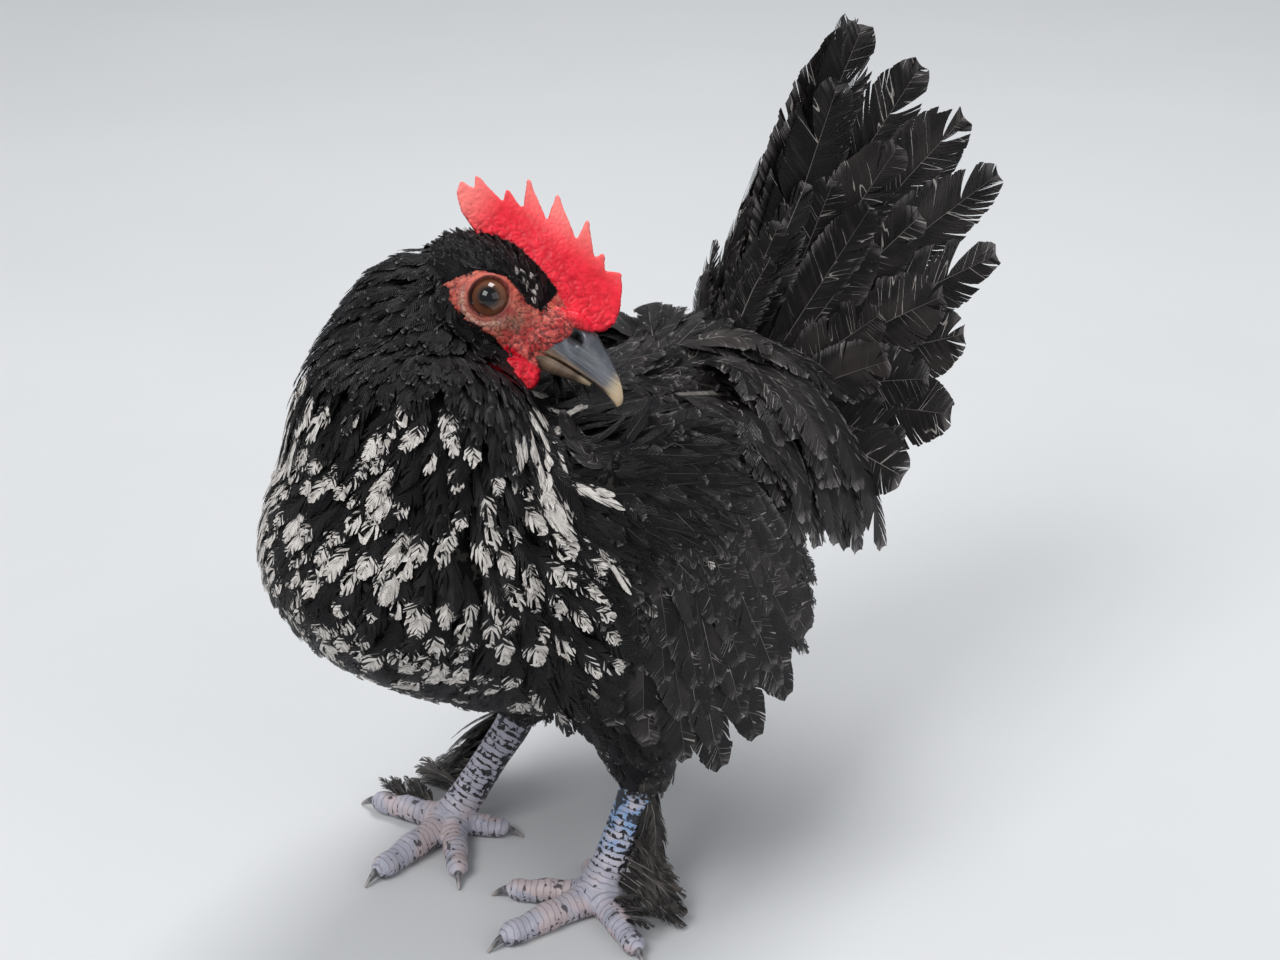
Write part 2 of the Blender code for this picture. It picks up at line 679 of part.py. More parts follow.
def make_tail(torso):
    pieces = [ball(RUMP, RUMP_RADII, None, 12, 7), ball(SADDLE, SADDLE_RADII, None, 12, 7)]
    draw = random.Random(5)
    for side in SIDES:
        for roots, tips, count, bow, outward, width, rows in TAIL_GROUPS:
            for k in range(count):
                share = k / (count - 1)
                root = Vector(roots[0]).lerp(Vector(roots[1]), share)
                tip = along_points(tips, share)
                tip += Vector([draw.uniform(-1, 1) for _ in range(3)]) * (TAIL_SCATTER * width)
                made = vane(root, tip, bow, outward, width, rows, TAIL_ROOT_SHARE)
                pieces.append(handed(made, side))
    return fitted(joined(pieces), [torso])


def thinned(obj):
    """Collapses the slivers that the unions and cuts leave along their seams."""
    modifier = obj.modifiers.new("thin", "DECIMATE")
    modifier.decimate_type = "COLLAPSE"
    modifier.ratio = KEPT_SHARE
    apply_modifiers(obj)


def finish(obj, name, look):
    """Scales a finished piece from mm to metres, names it and gives it its material."""
    thinned(obj)
    edit(obj, lambda bm: bmesh.ops.scale(bm, vec=(MM, MM, MM), verts=bm.verts))
    obj.name = name
    obj.data.name = name
    obj.data.materials.clear()
    obj.data.materials.append(look)
    HELPERS.objects.unlink(obj)
    ROOSTER.objects.link(obj)


def stand_on_origin():
    """Moves the whole bird so that the middle of its box's floor is the origin."""
    points = [vert.co for obj in ROOSTER.objects for vert in obj.data.vertices]
    low = Vector([min(point[k] for point in points) for k in range(3)])
    high = Vector([max(point[k] for point in points) for k in range(3)])
    shift = Vector((-(low.x + high.x) / 2, -(low.y + high.y) / 2, -low.z))
    for obj in ROOSTER.objects:
        obj.data.transform(Matrix.Translation(shift))


def main():
    torso = make_torso()
    neck = boolean(fitted(make_neck(), [torso]), eye_clearings(), "DIFFERENCE")
    skull, culmen = make_skull(), make_culmen()
    guides = [skull, culmen]
    head = make_head(neck)
    upper = make_upper_beak(skull)
    lower = make_lower_beak(skull, culmen)
    comb = make_comb(skull, culmen)
    thighs = {side: make_thigh(side, torso) for side in SIDES}
    wings = {side: make_wing(side, [torso, neck, thighs[side]]) for side in SIDES}
    tail = make_tail(torso)
    parts = [(torso, "torso", MOTTLED_PLUMAGE), (neck, "neck", BLACK_PLUMAGE),
             (head, "head", BLACK_PLUMAGE), (upper, "beak_upper", BEAK_HORN),
             (lower, "beak_lower", BEAK_HORN), (comb, "comb", RED_SKIN),
             (tail, "tail", BLACK_PLUMAGE)]
    for side, word in SIDES.items():
        leg = handed(make_shank_core(side), side)
        shank = make_shank(side, make_shank_core(side), thighs[side])
        foot = make_foot(side, shank)
        parts += [(make_eye(side), f"eye_{word}", EYE_BROWN),
                  (make_wattle(side, [skull, lower, neck, torso]), f"wattle_{word}", RED_SKIN),
                  (wings[side], f"wing_{word}", BLACK_PLUMAGE),
                  (thighs[side], f"thigh_{word}", BLACK_PLUMAGE),
                  (shank, f"shank_{word}", LEG_SCALE),
                  (foot, f"foot_{word}", LEG_SCALE)]
        near = [foot, leg]
        for number, toe in enumerate(TOES, start=1):
            made = make_toe(side, toe, near)
            near.append(made)
            parts += [(made, f"toe_{word}_{number}", LEG_SCALE),
                      (make_claw(side, toe, made), f"claw_{word}_{number}", CLAW_HORN)]
        guides.append(leg)
    for guide in guides:
        bpy.data.objects.remove(guide, do_unlink=True)
    for part in parts:
        finish(*part)
    stand_on_origin()


main()
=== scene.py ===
"""Looks for a life-size bantam rooster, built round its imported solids.

The bird is modelled in mm in a frame of its own: the breast faces -Y, its left side is
+X and its feet stand on z = 0. Each finished piece is then scaled and set on the solids.
"""
import math
import random

import bmesh
import bpy
import numpy as np
from mathutils import Matrix, Vector, noise
from mathutils.bvhtree import BVHTree


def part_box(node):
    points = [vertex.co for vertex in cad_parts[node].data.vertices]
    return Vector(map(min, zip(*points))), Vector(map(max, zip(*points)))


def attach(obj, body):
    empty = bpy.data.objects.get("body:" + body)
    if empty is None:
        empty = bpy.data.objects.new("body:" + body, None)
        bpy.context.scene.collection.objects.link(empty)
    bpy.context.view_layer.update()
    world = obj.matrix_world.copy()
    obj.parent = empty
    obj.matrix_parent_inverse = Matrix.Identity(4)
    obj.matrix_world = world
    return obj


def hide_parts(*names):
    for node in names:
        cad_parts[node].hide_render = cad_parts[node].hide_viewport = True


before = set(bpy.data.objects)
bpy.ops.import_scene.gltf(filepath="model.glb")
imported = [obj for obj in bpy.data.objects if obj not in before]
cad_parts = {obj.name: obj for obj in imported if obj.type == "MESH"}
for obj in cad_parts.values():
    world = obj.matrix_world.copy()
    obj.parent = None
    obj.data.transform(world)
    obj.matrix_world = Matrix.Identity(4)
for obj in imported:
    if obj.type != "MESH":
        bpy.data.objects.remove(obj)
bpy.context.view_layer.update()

LEFT, RIGHT = 1, -1
SIDES = {LEFT: "left", RIGHT: "right"}
UP = Vector((0, 0, 1))
FORWARD = Vector((0, -1, 0))
OUT = Vector((1, 0, 0))
NEARBY = 0.1

# The head's own frame: forward along the beak, up through the comb, side to the right.
HEAD_CENTRE = Vector((2.4, -9.0, 161.4))
HEAD_FORWARD = Vector((0.745, 0.393, -0.539)).normalized()
HEAD_UP = Vector((0.165, 0.675, 0.719)).normalized()
HEAD_SIDE = HEAD_FORWARD.cross(HEAD_UP).normalized()
EYE_OUT = 8.3
EYEBALL, EYEBALL_RADIUS = Vector((0.2, 0.9, 7.9)), 4.6
HEAD_REACH = 26.5

# Body stations: x, y, z, half width, height above and below the middle.
TORSO = [
    (0, -67.0, 113, 2, 2, 2), (0, -64.5, 112, 13, 14, 11), (0, -55.0, 110, 27, 30, 22),
    (0, -38.0, 106, 36, 38, 31), (0, -14.0, 101, 40, 42, 41), (0, 12.0, 98, 39, 43, 48),
    (0, 34.0, 101, 31, 37, 35), (0, 50.0, 107, 22, 28, 24), (0, 64.0, 111, 15, 20, 15),
    (0, 73.0, 113, 8, 10, 8), (0, 76.0, 113, 2, 2, 2),
]
NECK = [
    (0, -28, 110, 33, 34, 34), (-1, -28, 124, 33, 31, 32), (-4, -27, 138, 30, 28, 27),
    (-8, -23.5, 149, 24, 23, 22), (-9, -21, 159, 15.5, 16, 15), (-7.5, -17, 165.5, 10, 10, 10),
    (-5, -14, 166, 4, 4, 4),
]
HEAD = [
    (-17.5, 0.0, 2.5, 2.5, 2.5), (-15.5, 0.0, 7.0, 7.5, 7.0), (-10.0, 0.2, 10.6, 11.6, 10.6),
    (-3.0, 0.0, 11.6, 13.6, 11.8), (4.0, -0.2, 10.8, 13.2, 10.8), (10.5, 0.0, 8.4, 11.6, 9.4),
    (15.5, 1.0, 6.4, 9.0, 7.0), (18.5, 1.8, 4.9, 7.2, 5.2), (19.5, 2.0, 1.8, 2.5, 2.0),
]
UPPER_BEAK = [
    (13.5, -2.6, 2.6, 7.6, 0.5), (15.5, -2.0, 5.2, 10.4, 0.6), (20.0, -0.7, 5.5, 10.1, 0.5),
    (24.5, -0.1, 4.9, 9.4, 0.5), (29.5, 0.2, 3.8, 6.6, 0.4), (33.8, 0.0, 2.5, 4.2, 0.5),
    (36.8, -0.6, 1.3, 2.2, 0.5), (38.0, -1.2, 0.5, 0.7, 0.3),
]
LOWER_BEAK = [
    (13.0, -3.6, 2.0, 0.5, 1.2), (14.5, -3.2, 4.4, 0.5, 2.4), (18.5, -2.0, 4.7, 0.6, 3.1),
    (23.0, -1.3, 3.9, 0.5, 2.4), (27.5, -0.9, 2.7, 0.4, 1.3), (30.0, -0.8, 1.0, 0.3, 0.6),
]
NOSTRIL = Vector((21.0, 5.5, 5.0))

# The comb as tips and the notch that follows each, forward and up in the head's frame.
COMB_TIPS = [(-21.5, 18.5), (-19.6, 21.6), (-12.3, 23.4), (-10.0, 28.4), (-2.4, 29.5),
             (6.8, 28.8), (14.3, 24.8), (20.1, 23.7)]
COMB_NOTCHES = [(-17.6, 18.8), (-10.8, 20.4), (-6.1, 21.6), (0.0, 22.6), (8.0, 23.0),
                (13.5, 22.4), (17.0, 21.6)]
COMB_FRONT = [(23.0, 20.2), (25.0, 16.8), (25.8, 13.5), (25.0, 10.8), (22.6, 8.6)]
COMB_BASE = [(17.5, 6.0), (12.0, 6.0), (4.0, 8.5), (-6.0, 9.0), (-12.5, 11.5), (-17.3, 13.1),
             (-20.6, 15.6)]
COMB_THICK_BASE, COMB_THICK_TIP = 5.0, 1.6
COMB_WAIST, COMB_TIP_HALF = -0.16, 0.95
COMB_LOW, COMB_HIGH = 8.0, 24.0
COMB_FOLD_PITCH, COMB_FOLD = 5.0, 0.9
WATTLE = [(13.8, -4.5, 1.2, 1.4), (14.6, -6.2, 1.8, 4.0), (15.3, -8.6, 1.9, 4.7),
          (15.8, -11.2, 1.6, 3.7), (15.9, -12.6, 0.7, 1.2)]
WATTLE_OUT, WATTLE_SPREAD = 3.2, 0.22

# Pads of flesh round the beak's root: forward, up, out and radii.
FLESH_PADS = [
    (12.2, -4.4, 5.4, (3.6, 1.6, 1.6)),      # the corner of the mouth
    (19.0, 9.0, 2.8, (3.8, 1.7, 2.7)),       # the fold over the nostril
    (15.8, 4.9, 4.4, (4.0, 4.6, 2.7)),       # before the eye
    (14.2, 0.8, 4.8, (3.8, 3.2, 2.5)),       # above the gape
]

# The bare face as forward and up points round the eye, down to the corner of the mouth.
FACE = [(-10.2, -3.9), (-8.4, -0.4), (-5.5, 4.2), (0.1, 6.9), (8.0, 5.7), (12.5, 5.2),
        (15.5, 7.5), (21.0, 9.5), (24.0, 4.0), (22.0, -4.5), (12.0, -7.2), (6.2, -5.4),
        (0.1, -6.6), (-5.5, -6.2)]

PADS = {LEFT: (25.4, 2.2), RIGHT: (26.1, -2.4)}
HOCKS = {LEFT: (26.0, 18.0, 33.0), RIGHT: (20.5, 19.5, 33.0)}
HIPS = {LEFT: (25.0, 13.0, 62.0), RIGHT: (24.0, 12.0, 62.0)}
THIGH_TOP, THIGH_TOP_RADII = Vector((0, 0, 8)), (12, 13, 13)
THIGH = [(0, 15, 16, 16), (0.45, 11.5, 12, 12.5), (0.8, 8.3, 8.6, 9), (1.08, 6.4, 6.6, 6.6),
         (1.14, 3, 3, 3)]
SHANK_TOP, SHANK_TOP_RADII, ABOVE_HOCK = Vector((0, 1, 5)), (4.8, 4.8, 5.2), 2.2
SHANK = [(0.15, 4.7, 4.8, 5.4), (0.45, 4.4, 4.4, 5.0), (0.75, 4.6, 4.6, 5.0),
         (0.98, 5.6, 5.0, 5.4)]
PAD_RADIUS, PAD_HEIGHT, PAD_RADII = 6.6, 4.2, (6.6, 7.2, 5.2)
TOES = [(29.0, -7.5, 4.3, 2.9), (23.0, -53.0, 3.9, 2.6), (24.0, 70.5, 4.0, 2.7),
        (14.5, -126.0, 3.4, 2.4)]
TOE_JOINTS = [(0, 1), (0.3, 0.94), (0.5, 1.04), (0.72, 0.95), (0.9, 1.05), (1, 0.62)]
TOE_START, TOE_HEIGHT = 3.0, 3.3
CLAW_LENGTH, CLAW_RADIUS, CLAW_SUNK = 6.0, 1.7, 1.5
CLAW_TIP_RADIUS, CLAW_ARCH, CLAW_FALL = 0.35, 0.5, 1.3

WING_CORE = Vector((42.0, 11.0, 112.0))
WING_CORE_RADII = (5.6, 25.0, 30.0)
WING_LEAN, WING_SPLAY = 21.0, -6.0
SHOULDER, SHOULDER_RADII = Vector((28, 3, 123)), (15.5, 25, 15)
FLANK, FLANK_RADII = Vector((32.5, -8, 95)), (12.5, 17, 31)
RUMP, RUMP_RADII = Vector((0, 74, 117)), (15, 11, 14)
SADDLE, SADDLE_RADII = Vector((0, 59, 123)), (19, 16, 13)

# How deep the skin lies under the coat's surface, and each mould's voxel and smoothing.
SUNK = 3.4
BODY_MOULD, HEAD_MOULD, LEG_MOULD, SKULL_MOULD = (1.8, 4), (0.38, 2), (0.5, 2), (0.6, 2)
SCUTE_PITCH, SCUTE_RISE, SCALED_BELOW = 1.7, 0.22, 38

# Distances from the middle of the eye's opening: its rim and the two folds of lid round it.
EYE_RIM, SECOND_LID, THIRD_LID, SOCKET_RIM, SOCKET_DEPTH = 4.75, 6.0, 7.2, 4.45, 2.4

# Feathers: the arch across a vane, the size of its patch on the unwrap, the points that the
# coat's lie fans out from, and the turn past which a feather would bridge a fold.
CAMBER, PATCH = 0.16, 0.003
CROWN, THROAT = Vector((-2, -12, 172)), Vector((20, -33, 147))
ACROSS_A_FOLD = -0.25
REAR_PLUMES, LEG_FRINGE, TOE_PLUMES, HOCK_PLUMES = 44, 54, 14, 30
LEG_PLUME_LIMIT = 52.5

# The studio in metres: the photo's viewpoint, and lights as place, size and power.
CAMERA_PLACE, CAMERA_BACK = Vector((0.40891, -0.35397, 0.37552)), Vector((0.646, -0.625, 0.438))
CAMERA_LENS, SENSOR_WIDTH = 70.2, 36
LIGHTS = {"key": ((0.1, -0.9, 1.1), 0.7, 10), "fill": ((1.1, 0.1, 0.7), 0.9, 3),
          "rim": ((-0.2, 0.4, 1.3), 0.5, 10)}
SKY, SKY_POWER = (0.92, 0.95, 1.0, 1), 0.4


# Working surfaces

def new_object(name, mesh):
    made = bpy.data.objects.new(name, mesh)
    bpy.context.scene.collection.objects.link(made)
    return made


def mesh_from(bm, name="work"):
    mesh = bpy.data.meshes.new(name)
    bm.to_mesh(mesh)
    bm.free()
    return mesh


def applied(obj):
    """The mesh of obj with its modifiers applied; obj goes."""
    graph = bpy.context.evaluated_depsgraph_get()
    graph.update()
    mesh = bpy.data.meshes.new_from_object(obj.evaluated_get(graph))
    bpy.data.objects.remove(obj, do_unlink=True)
    return mesh


def between(stations, spot):
    """The Catmull-Rom value at spot, which counts stations from 0."""
    last = len(stations) - 1
    i = min(int(spot), last - 1)
    t = spot - i
    near = [stations[max(0, min(last, k))] for k in (i - 1, i, i + 1, i + 2)]
    weights = (-0.5 * t + t * t - 0.5 * t ** 3, 1 - 2.5 * t * t + 1.5 * t ** 3,
               0.5 * t + 2 * t * t - 1.5 * t ** 3, -0.5 * t * t + 0.5 * t ** 3)
    return Vector([sum(w * s[k] for w, s in zip(weights, near)) for k in range(len(near[0]))])


def along_points(points, share):
    return between(points, share * (len(points) - 1))


def ring_edges(ring):
    inside = set(ring)
    edges = {edge for vert in ring for edge in vert.link_edges}
    return [edge for edge in edges if edge.verts[0] in inside and edge.verts[1] in inside]


def loft(bm, stations, sides, steps, above_hint, sunk=0.0, square=0):
    """Adds a closed body through stations: x, y, z, half width, height above and below.

    Where square is -1 or 1 the half below or above the middle is nearly square.
    """
    last = len(stations) - 1
    rings = []
    for k in range(last * steps + 1):
        spot = k / steps
        x, y, z, width, top, bottom = between(stations, spot)
        before = between(stations, max(0, spot - NEARBY)).xyz
        after = between(stations, min(last, spot + NEARBY)).xyz
        along = (after - before).normalized()
        across = along.cross(above_hint).normalized()
        above = across.cross(along).normalized()
        ring = bmesh.ops.create_circle(bm, cap_ends=False, radius=1, segments=sides)["verts"]
        for vert in ring:
            u, v = vert.co.x, vert.co.y
            rise = max(0.3, (top if v > 0 else bottom) - sunk)
            if square * v > 0:
                u = math.copysign(abs(u) ** 0.4, u)
            vert.co = (Vector((x, y, z)) + across * (u * max(0.3, width - sunk))
                       + above * (v * rise))
        rings.append(ring)
    loops = [ring_edges(ring) for ring in rings]
    for first, second in zip(loops, loops[1:]):
        bmesh.ops.bridge_loops(bm, edges=first + second)
    for loop in (loops[0], loops[-1]):
        bmesh.ops.contextual_create(bm, geom=loop)


def ball(bm, centre, radii, turn=None, segments=32, rings=20):
    shape = Matrix.Diagonal((*radii, 1))
    place = Matrix.Translation(Vector(centre)) @ (turn or Matrix.Identity(4)) @ shape
    bmesh.ops.create_uvsphere(bm, u_segments=segments, v_segments=rings, radius=1, matrix=place)


def moulded(fill, voxel, passes):
    """One closed surface over all that fill adds, remeshed evenly and smoothed."""
    bm = bmesh.new()
    fill(bm)
    bmesh.ops.recalc_face_normals(bm, faces=bm.faces)
    obj = new_object("mould", mesh_from(bm))
    voxels = obj.modifiers.new("voxels", "REMESH")
    voxels.mode = "VOXEL"
    voxels.voxel_size = voxel
    mesh = applied(obj)
    bm = bmesh.new()
    bm.from_mesh(mesh)
    for _ in range(passes):
        bmesh.ops.smooth_vert(bm, verts=bm.verts, factor=0.5, use_axis_x=True, use_axis_y=True,
                              use_axis_z=True)
    bm.normal_update()
    return bm


def head_point(forward, up, side=0.0):
    return HEAD_CENTRE + HEAD_FORWARD * forward + HEAD_UP * up + HEAD_SIDE * side


def in_head(point):
    """A point's forward, up and side in the head's frame."""
    away = point - HEAD_CENTRE
    return away.dot(HEAD_FORWARD), away.dot(HEAD_UP), away.dot(HEAD_SIDE)


def head_turn():
    return Matrix((HEAD_FORWARD, HEAD_UP, HEAD_SIDE)).transposed().to_4x4()


def head_loft(bm, stations, sides, steps, sunk=0.0, square=0):
    placed = [(*head_point(forward, up), *sizes) for forward, up, *sizes in stations]
    loft(bm, placed, sides, steps, HEAD_UP, sunk, square)


def mirrored(point, side):
    return Vector((point[0] * side, point[1], point[2]))


def clamped(value):
    return max(0.0, min(1.0, value))


def bell(away, width):
    return math.exp(-(away / width) ** 2)


def rise_and_fall(value, low, high):
    """A smooth step from 0 at low to 1 at high; low may be the larger."""
    share = np.clip((value - low) / (high - low), 0, 1)
    return share * share * (3 - 2 * share)


def inside(outline, x, y):
    """Whether each point lies inside a closed outline."""
    hits = np.zeros(np.shape(x), bool)
    for (x0, y0), (x1, y1) in zip(outline, outline[1:] + outline[:1]):
        crosses = (y0 > y) != (y1 > y)
        hits ^= crosses & (x < (x1 - x0) * (y - y0) / (y1 - y0 + 1e-9) + x0)
    return hits


# Flesh

def wing_turn():
    return (Matrix.Rotation(math.radians(WING_SPLAY), 4, "Y")
            @ Matrix.Rotation(math.radians(WING_LEAN), 4, "X"))


def fill_body(bm, sunk):
    """Torso, neck, thighs, rump and the wings' fleshy cores, sunk below the coat."""
    loft(bm, TORSO, 48, 5, UP, sunk)
    loft(bm, NECK, 48, 5, FORWARD, sunk * 0.8)
    ball(bm, RUMP, [r - sunk * 0.5 for r in RUMP_RADII])
    ball(bm, SADDLE, [r - sunk * 0.5 for r in SADDLE_RADII])
    head_loft(bm, HEAD, 32, 3, 1.2)
    for side in SIDES:
        for centre, radii in ((SHOULDER, SHOULDER_RADII), (FLANK, FLANK_RADII)):
            ball(bm, mirrored(centre, side), [r - sunk * 0.8 for r in radii])
        hip, hock = mirrored(HIPS[side], side), mirrored(HOCKS[side], side)
        stations = [(*(hip + THIGH_TOP), *THIGH_TOP_RADII)]
        stations += [(*hip.lerp(hock, share), *radii) for share, *radii in THIGH]
        loft(bm, stations, 32, 4, FORWARD, sunk * 0.6)


def fill_wing_cores(bm):
    for side in SIDES:
        turn = wing_turn()
        if side == RIGHT:
            turn = Matrix.Scale(-1, 4, OUT) @ turn @ Matrix.Scale(-1, 4, OUT)
        ball(bm, mirrored(WING_CORE, side), [r - 1.0 for r in WING_CORE_RADII], turn)


def finger(before, tip, after):
    """Rim points of one slender point of the comb, between the notches beside it."""
    middle = (before + after) / 2
    ahead = (tip - middle).normalized()
    across = Vector((ahead.y, -ahead.x))
    rim = []
    for notch, shares, way in ((before, (0.25, 0.5, 0.75, 0.93), -1),
                               (after, (0.93, 0.75, 0.5, 0.25), 1)):
        for share in shares:
            axis = middle.lerp(tip, share)
            edge = notch.lerp(tip, share)
            pulled = axis.lerp(edge, 1 - COMB_WAIST * math.sin(math.pi * share))
            half = max((pulled - axis).dot(across) * way, COMB_TIP_HALF * (1 - share) ** 0.25)
            rim.append(axis + across * (way * half) + ahead * ((pulled - axis).dot(ahead)))
        if way < 0:
            rim.append(tip)
    return rim


def comb_outline():
    """The comb's rim from its rear tip over the points to the front and back along the base."""
    notches = [Vector(COMB_BASE[-1])] + [Vector(point) for point in COMB_NOTCHES]
    notches.append(Vector(COMB_FRONT[0]))
    rim = []
    for k, tip in enumerate(COMB_TIPS):
        if k:
            rim.append(notches[k])
        rim += finger(notches[k], Vector(tip), notches[k + 1])
    return rim + [Vector(point) for point in COMB_FRONT + COMB_BASE]


def comb_side(forward, up):
    """The comb's sway to the side and its half thickness at a point of its blade."""
    rise = clamped((up - COMB_LOW) / (COMB_HIGH - COMB_LOW))
    half = (COMB_THICK_BASE * (1 - rise) + COMB_THICK_TIP * rise) / 2
    return COMB_FOLD * math.sin(forward / COMB_FOLD_PITCH) * rise, half


def fill_comb(bm):
    blade = bmesh.new()
    rim = [blade.verts.new((*point, 0)) for point in comb_outline()]
    edges = [blade.edges.new(pair) for pair in zip(rim, rim[1:] + rim[:1])]
    bmesh.ops.contextual_create(blade, geom=edges)
    bmesh.ops.triangulate(blade, faces=blade.faces, ngon_method="EAR_CLIP")
    for longest in (7.0, 3.5, 2.0):
        long_edges = [edge for edge in blade.edges if edge.calc_length() > longest]
        bmesh.ops.subdivide_edges(blade, edges=long_edges, cuts=1)
        bmesh.ops.triangulate(blade, faces=blade.faces)
    bmesh.ops.solidify(blade, geom=blade.faces[:], thickness=1)
    for vert in blade.verts:
        forward, up, side = vert.co
        sway, half = comb_side(forward, up)
        vert.co = head_point(forward, up, (half if side > -0.5 else -half) + sway)
    mesh = mesh_from(blade)
    bm.from_mesh(mesh)
    bpy.data.meshes.remove(mesh)


def fill_head(bm):
    """Skull, comb, wattles and the fleshy parts round the beak."""
    head_loft(bm, HEAD, 40, 6, 0.5)
    fill_comb(bm)
    for side in SIDES:
        placed = []
        for forward, up, thick, width in WATTLE:
            out = WATTLE_OUT - WATTLE_SPREAD * up
            placed.append((*head_point(forward, up, -side * out), thick, width, width))
        loft(bm, placed, 24, 4, HEAD_FORWARD)
        for forward, up, out, radii in FLESH_PADS:
            ball(bm, head_point(forward, up, -side * out), radii, head_turn(), 20, 12)


def skull_share(forward, up, side):
    """How far out of the skull a point lies: 1 on its surface."""
    rows = np.array(HEAD)
    middle, width, top, bottom = [np.interp(forward, rows[:, 0], rows[:, k]) for k in (1, 2, 3, 4)]
    height = np.where(up > middle, top, bottom)
    return np.hypot(side / width, (up - middle) / height)


def bare_share(forward, up, side):
    """Where the head is bare skin: the face, the comb and the wattles."""
    share = skull_share(forward, up, side)
    forward = np.where(forward > HEAD_REACH, -HEAD_REACH, forward)
    comb = (share > 1.07) & (np.abs(side) < 4.2) & (up > 5.5) & (forward > -25)
    wattle = ((forward > 9.5) & (forward < 21.5) & (up < -4.6) & (up > -14) & (share > 1.0)
              & (np.abs(side) > 1.8) & (np.abs(side) < 8.6))
    front = (forward > 11.4) & (forward < 23.5) & (up > -5.5) & (np.abs(side) < 7.5)
    return inside(FACE, forward, up) | comb | wattle | front


def eye_reach(forward, up):
    """The distance from the middle of the eye's opening, which is taller than long."""
    return np.hypot((forward - EYEBALL.x) / 0.97, (up - EYEBALL.y) / 1.05)


def lid_relief(reach, up, rough):
    """The eye's socket and the folds of the lids round it, deeper below the eye."""
    below = max(0.0, -up / 6)
    rim = bell(reach - EYE_RIM, 0.38) * 0.6
    second = bell(reach - SECOND_LID - rough, 0.42) * (0.2 + 0.4 * below)
    third = bell(reach - THIRD_LID - rough * 2, 0.45) * 0.35 * below
    socket = -SOCKET_DEPTH * clamped((SOCKET_RIM - reach) / 0.5)
    return rim + second + third + socket


def wrinkle_head(bm):
    """Lids round the eyes, folds of bare skin and the comb's grain, as real relief."""
    crease = bm.verts.layers.float.new("crease")
    moves = []
    for vert in bm.verts:
        forward, up, side = in_head(vert.co)
        reach = eye_reach(forward, up)
        rough = noise.noise(vert.co * 1.5) * 0.16 + noise.noise(vert.co * 2.9) * 0.1
        rise = lid_relief(reach, up, rough) if abs(side) > 4 and reach < 10 else 0.0
        if bare_share(forward, up, side):
            comb = clamped((up - 8) / 4)
            warp = vert.co + Vector((rough, -rough, rough)) * 4
            cells = noise.voronoi(warp * 0.62)[0]
            apart = cells[1] - cells[0]
            far = clamped((reach - 5.1) / 1.2) * (1 - comb)
            fold = min(abs(noise.noise(vert.co * 0.36 + Vector((7, 1, 3)))),
                       1.4 * abs(noise.noise(vert.co * 0.7)))
            front = bell(forward - 16, 5) * (1 - comb)
            folded = max(comb * clamped(1.35 - (up - 8) / 9), front)
            rise += rough * (0.4 + 0.4 * comb) + (min(0.5, apart) - 0.25) * 0.9 * far
            rise += (min(0.3, 2.6 * fold) - 0.2) * 1.8 * folded
            # Where the grooves lie, for the painted shade that the skin's finish lays in them.
            vert[crease] = max(max(0.0, 1 - apart / 0.16) * far,
                               max(0.0, 1 - fold / 0.09) * folded)
            if up < -5.5 and forward > 10:
                rise += 0.35 * (0.5 - noise.voronoi(vert.co * 0.75)[0][0])
        moves.append((vert, vert.normal * rise))
    for vert, move in moves:
        vert.co += move


def toe_direction(turn):
    angle = math.radians(turn)
    return Vector((math.sin(angle), -math.cos(angle), 0))


def pad_centre(side):
    return Vector((PADS[side][0] * side, PADS[side][1], PAD_HEIGHT))


def toe_line(side, toe):
    """A toe's root and the whole of its reach, as the left or the right foot has it."""
    length, turn, *_ = toe
    ahead = mirrored(toe_direction(turn), side)
    root = pad_centre(side) + ahead * (PAD_RADIUS - TOE_START)
    root.z = TOE_HEIGHT
    return root, ahead * (length - PAD_RADIUS + TOE_START)


def leg_top(side):
    return mirrored(HOCKS[side], side) + SHANK_TOP


def fill_legs(bm):
    for side in SIDES:
        pad, hock = pad_centre(side), mirrored(HOCKS[side], side)
        stations = [(*(hock + SHANK_TOP * ABOVE_HOCK), *SHANK_TOP_RADII),
                    (*leg_top(side), *SHANK_TOP_RADII)]
        stations += [(*hock.lerp(pad, share), *radii) for share, *radii in SHANK]
        loft(bm, stations, 28, 4, FORWARD)
        ball(bm, pad, PAD_RADII)
        for toe in TOES:
            root, reach = toe_line(side, toe)
            stations = []
            for share, swell in TOE_JOINTS:
                radius = (toe[2] + (toe[3] - toe[2]) * share) * swell
                spot = root + reach * share
                spot.z = min(TOE_HEIGHT, radius * 0.9)
                stations.append((*spot, radius, radius * 1.05, radius))
            loft(bm, stations, 24, 5, UP)


def nearest_limb(point, limbs):
    """The limb nearest to a point, and how far along it the point lies."""
    best = None
    for number, (start, reach) in enumerate(limbs):
        share = (point - start).dot(reach) / reach.length_squared
        gap = (point - start - reach * clamped(share)).length
        if best is None or gap < best[0]:
            best = (gap, number, share)
    return best[1], best[2]


def leg_limbs():
    limbs = []
    for side in SIDES:
        top = leg_top(side)
        limbs.append((top, pad_centre(side) + Vector((0, 0, 2)) - top))
        limbs += [toe_line(side, toe) for toe in TOES]
    return limbs


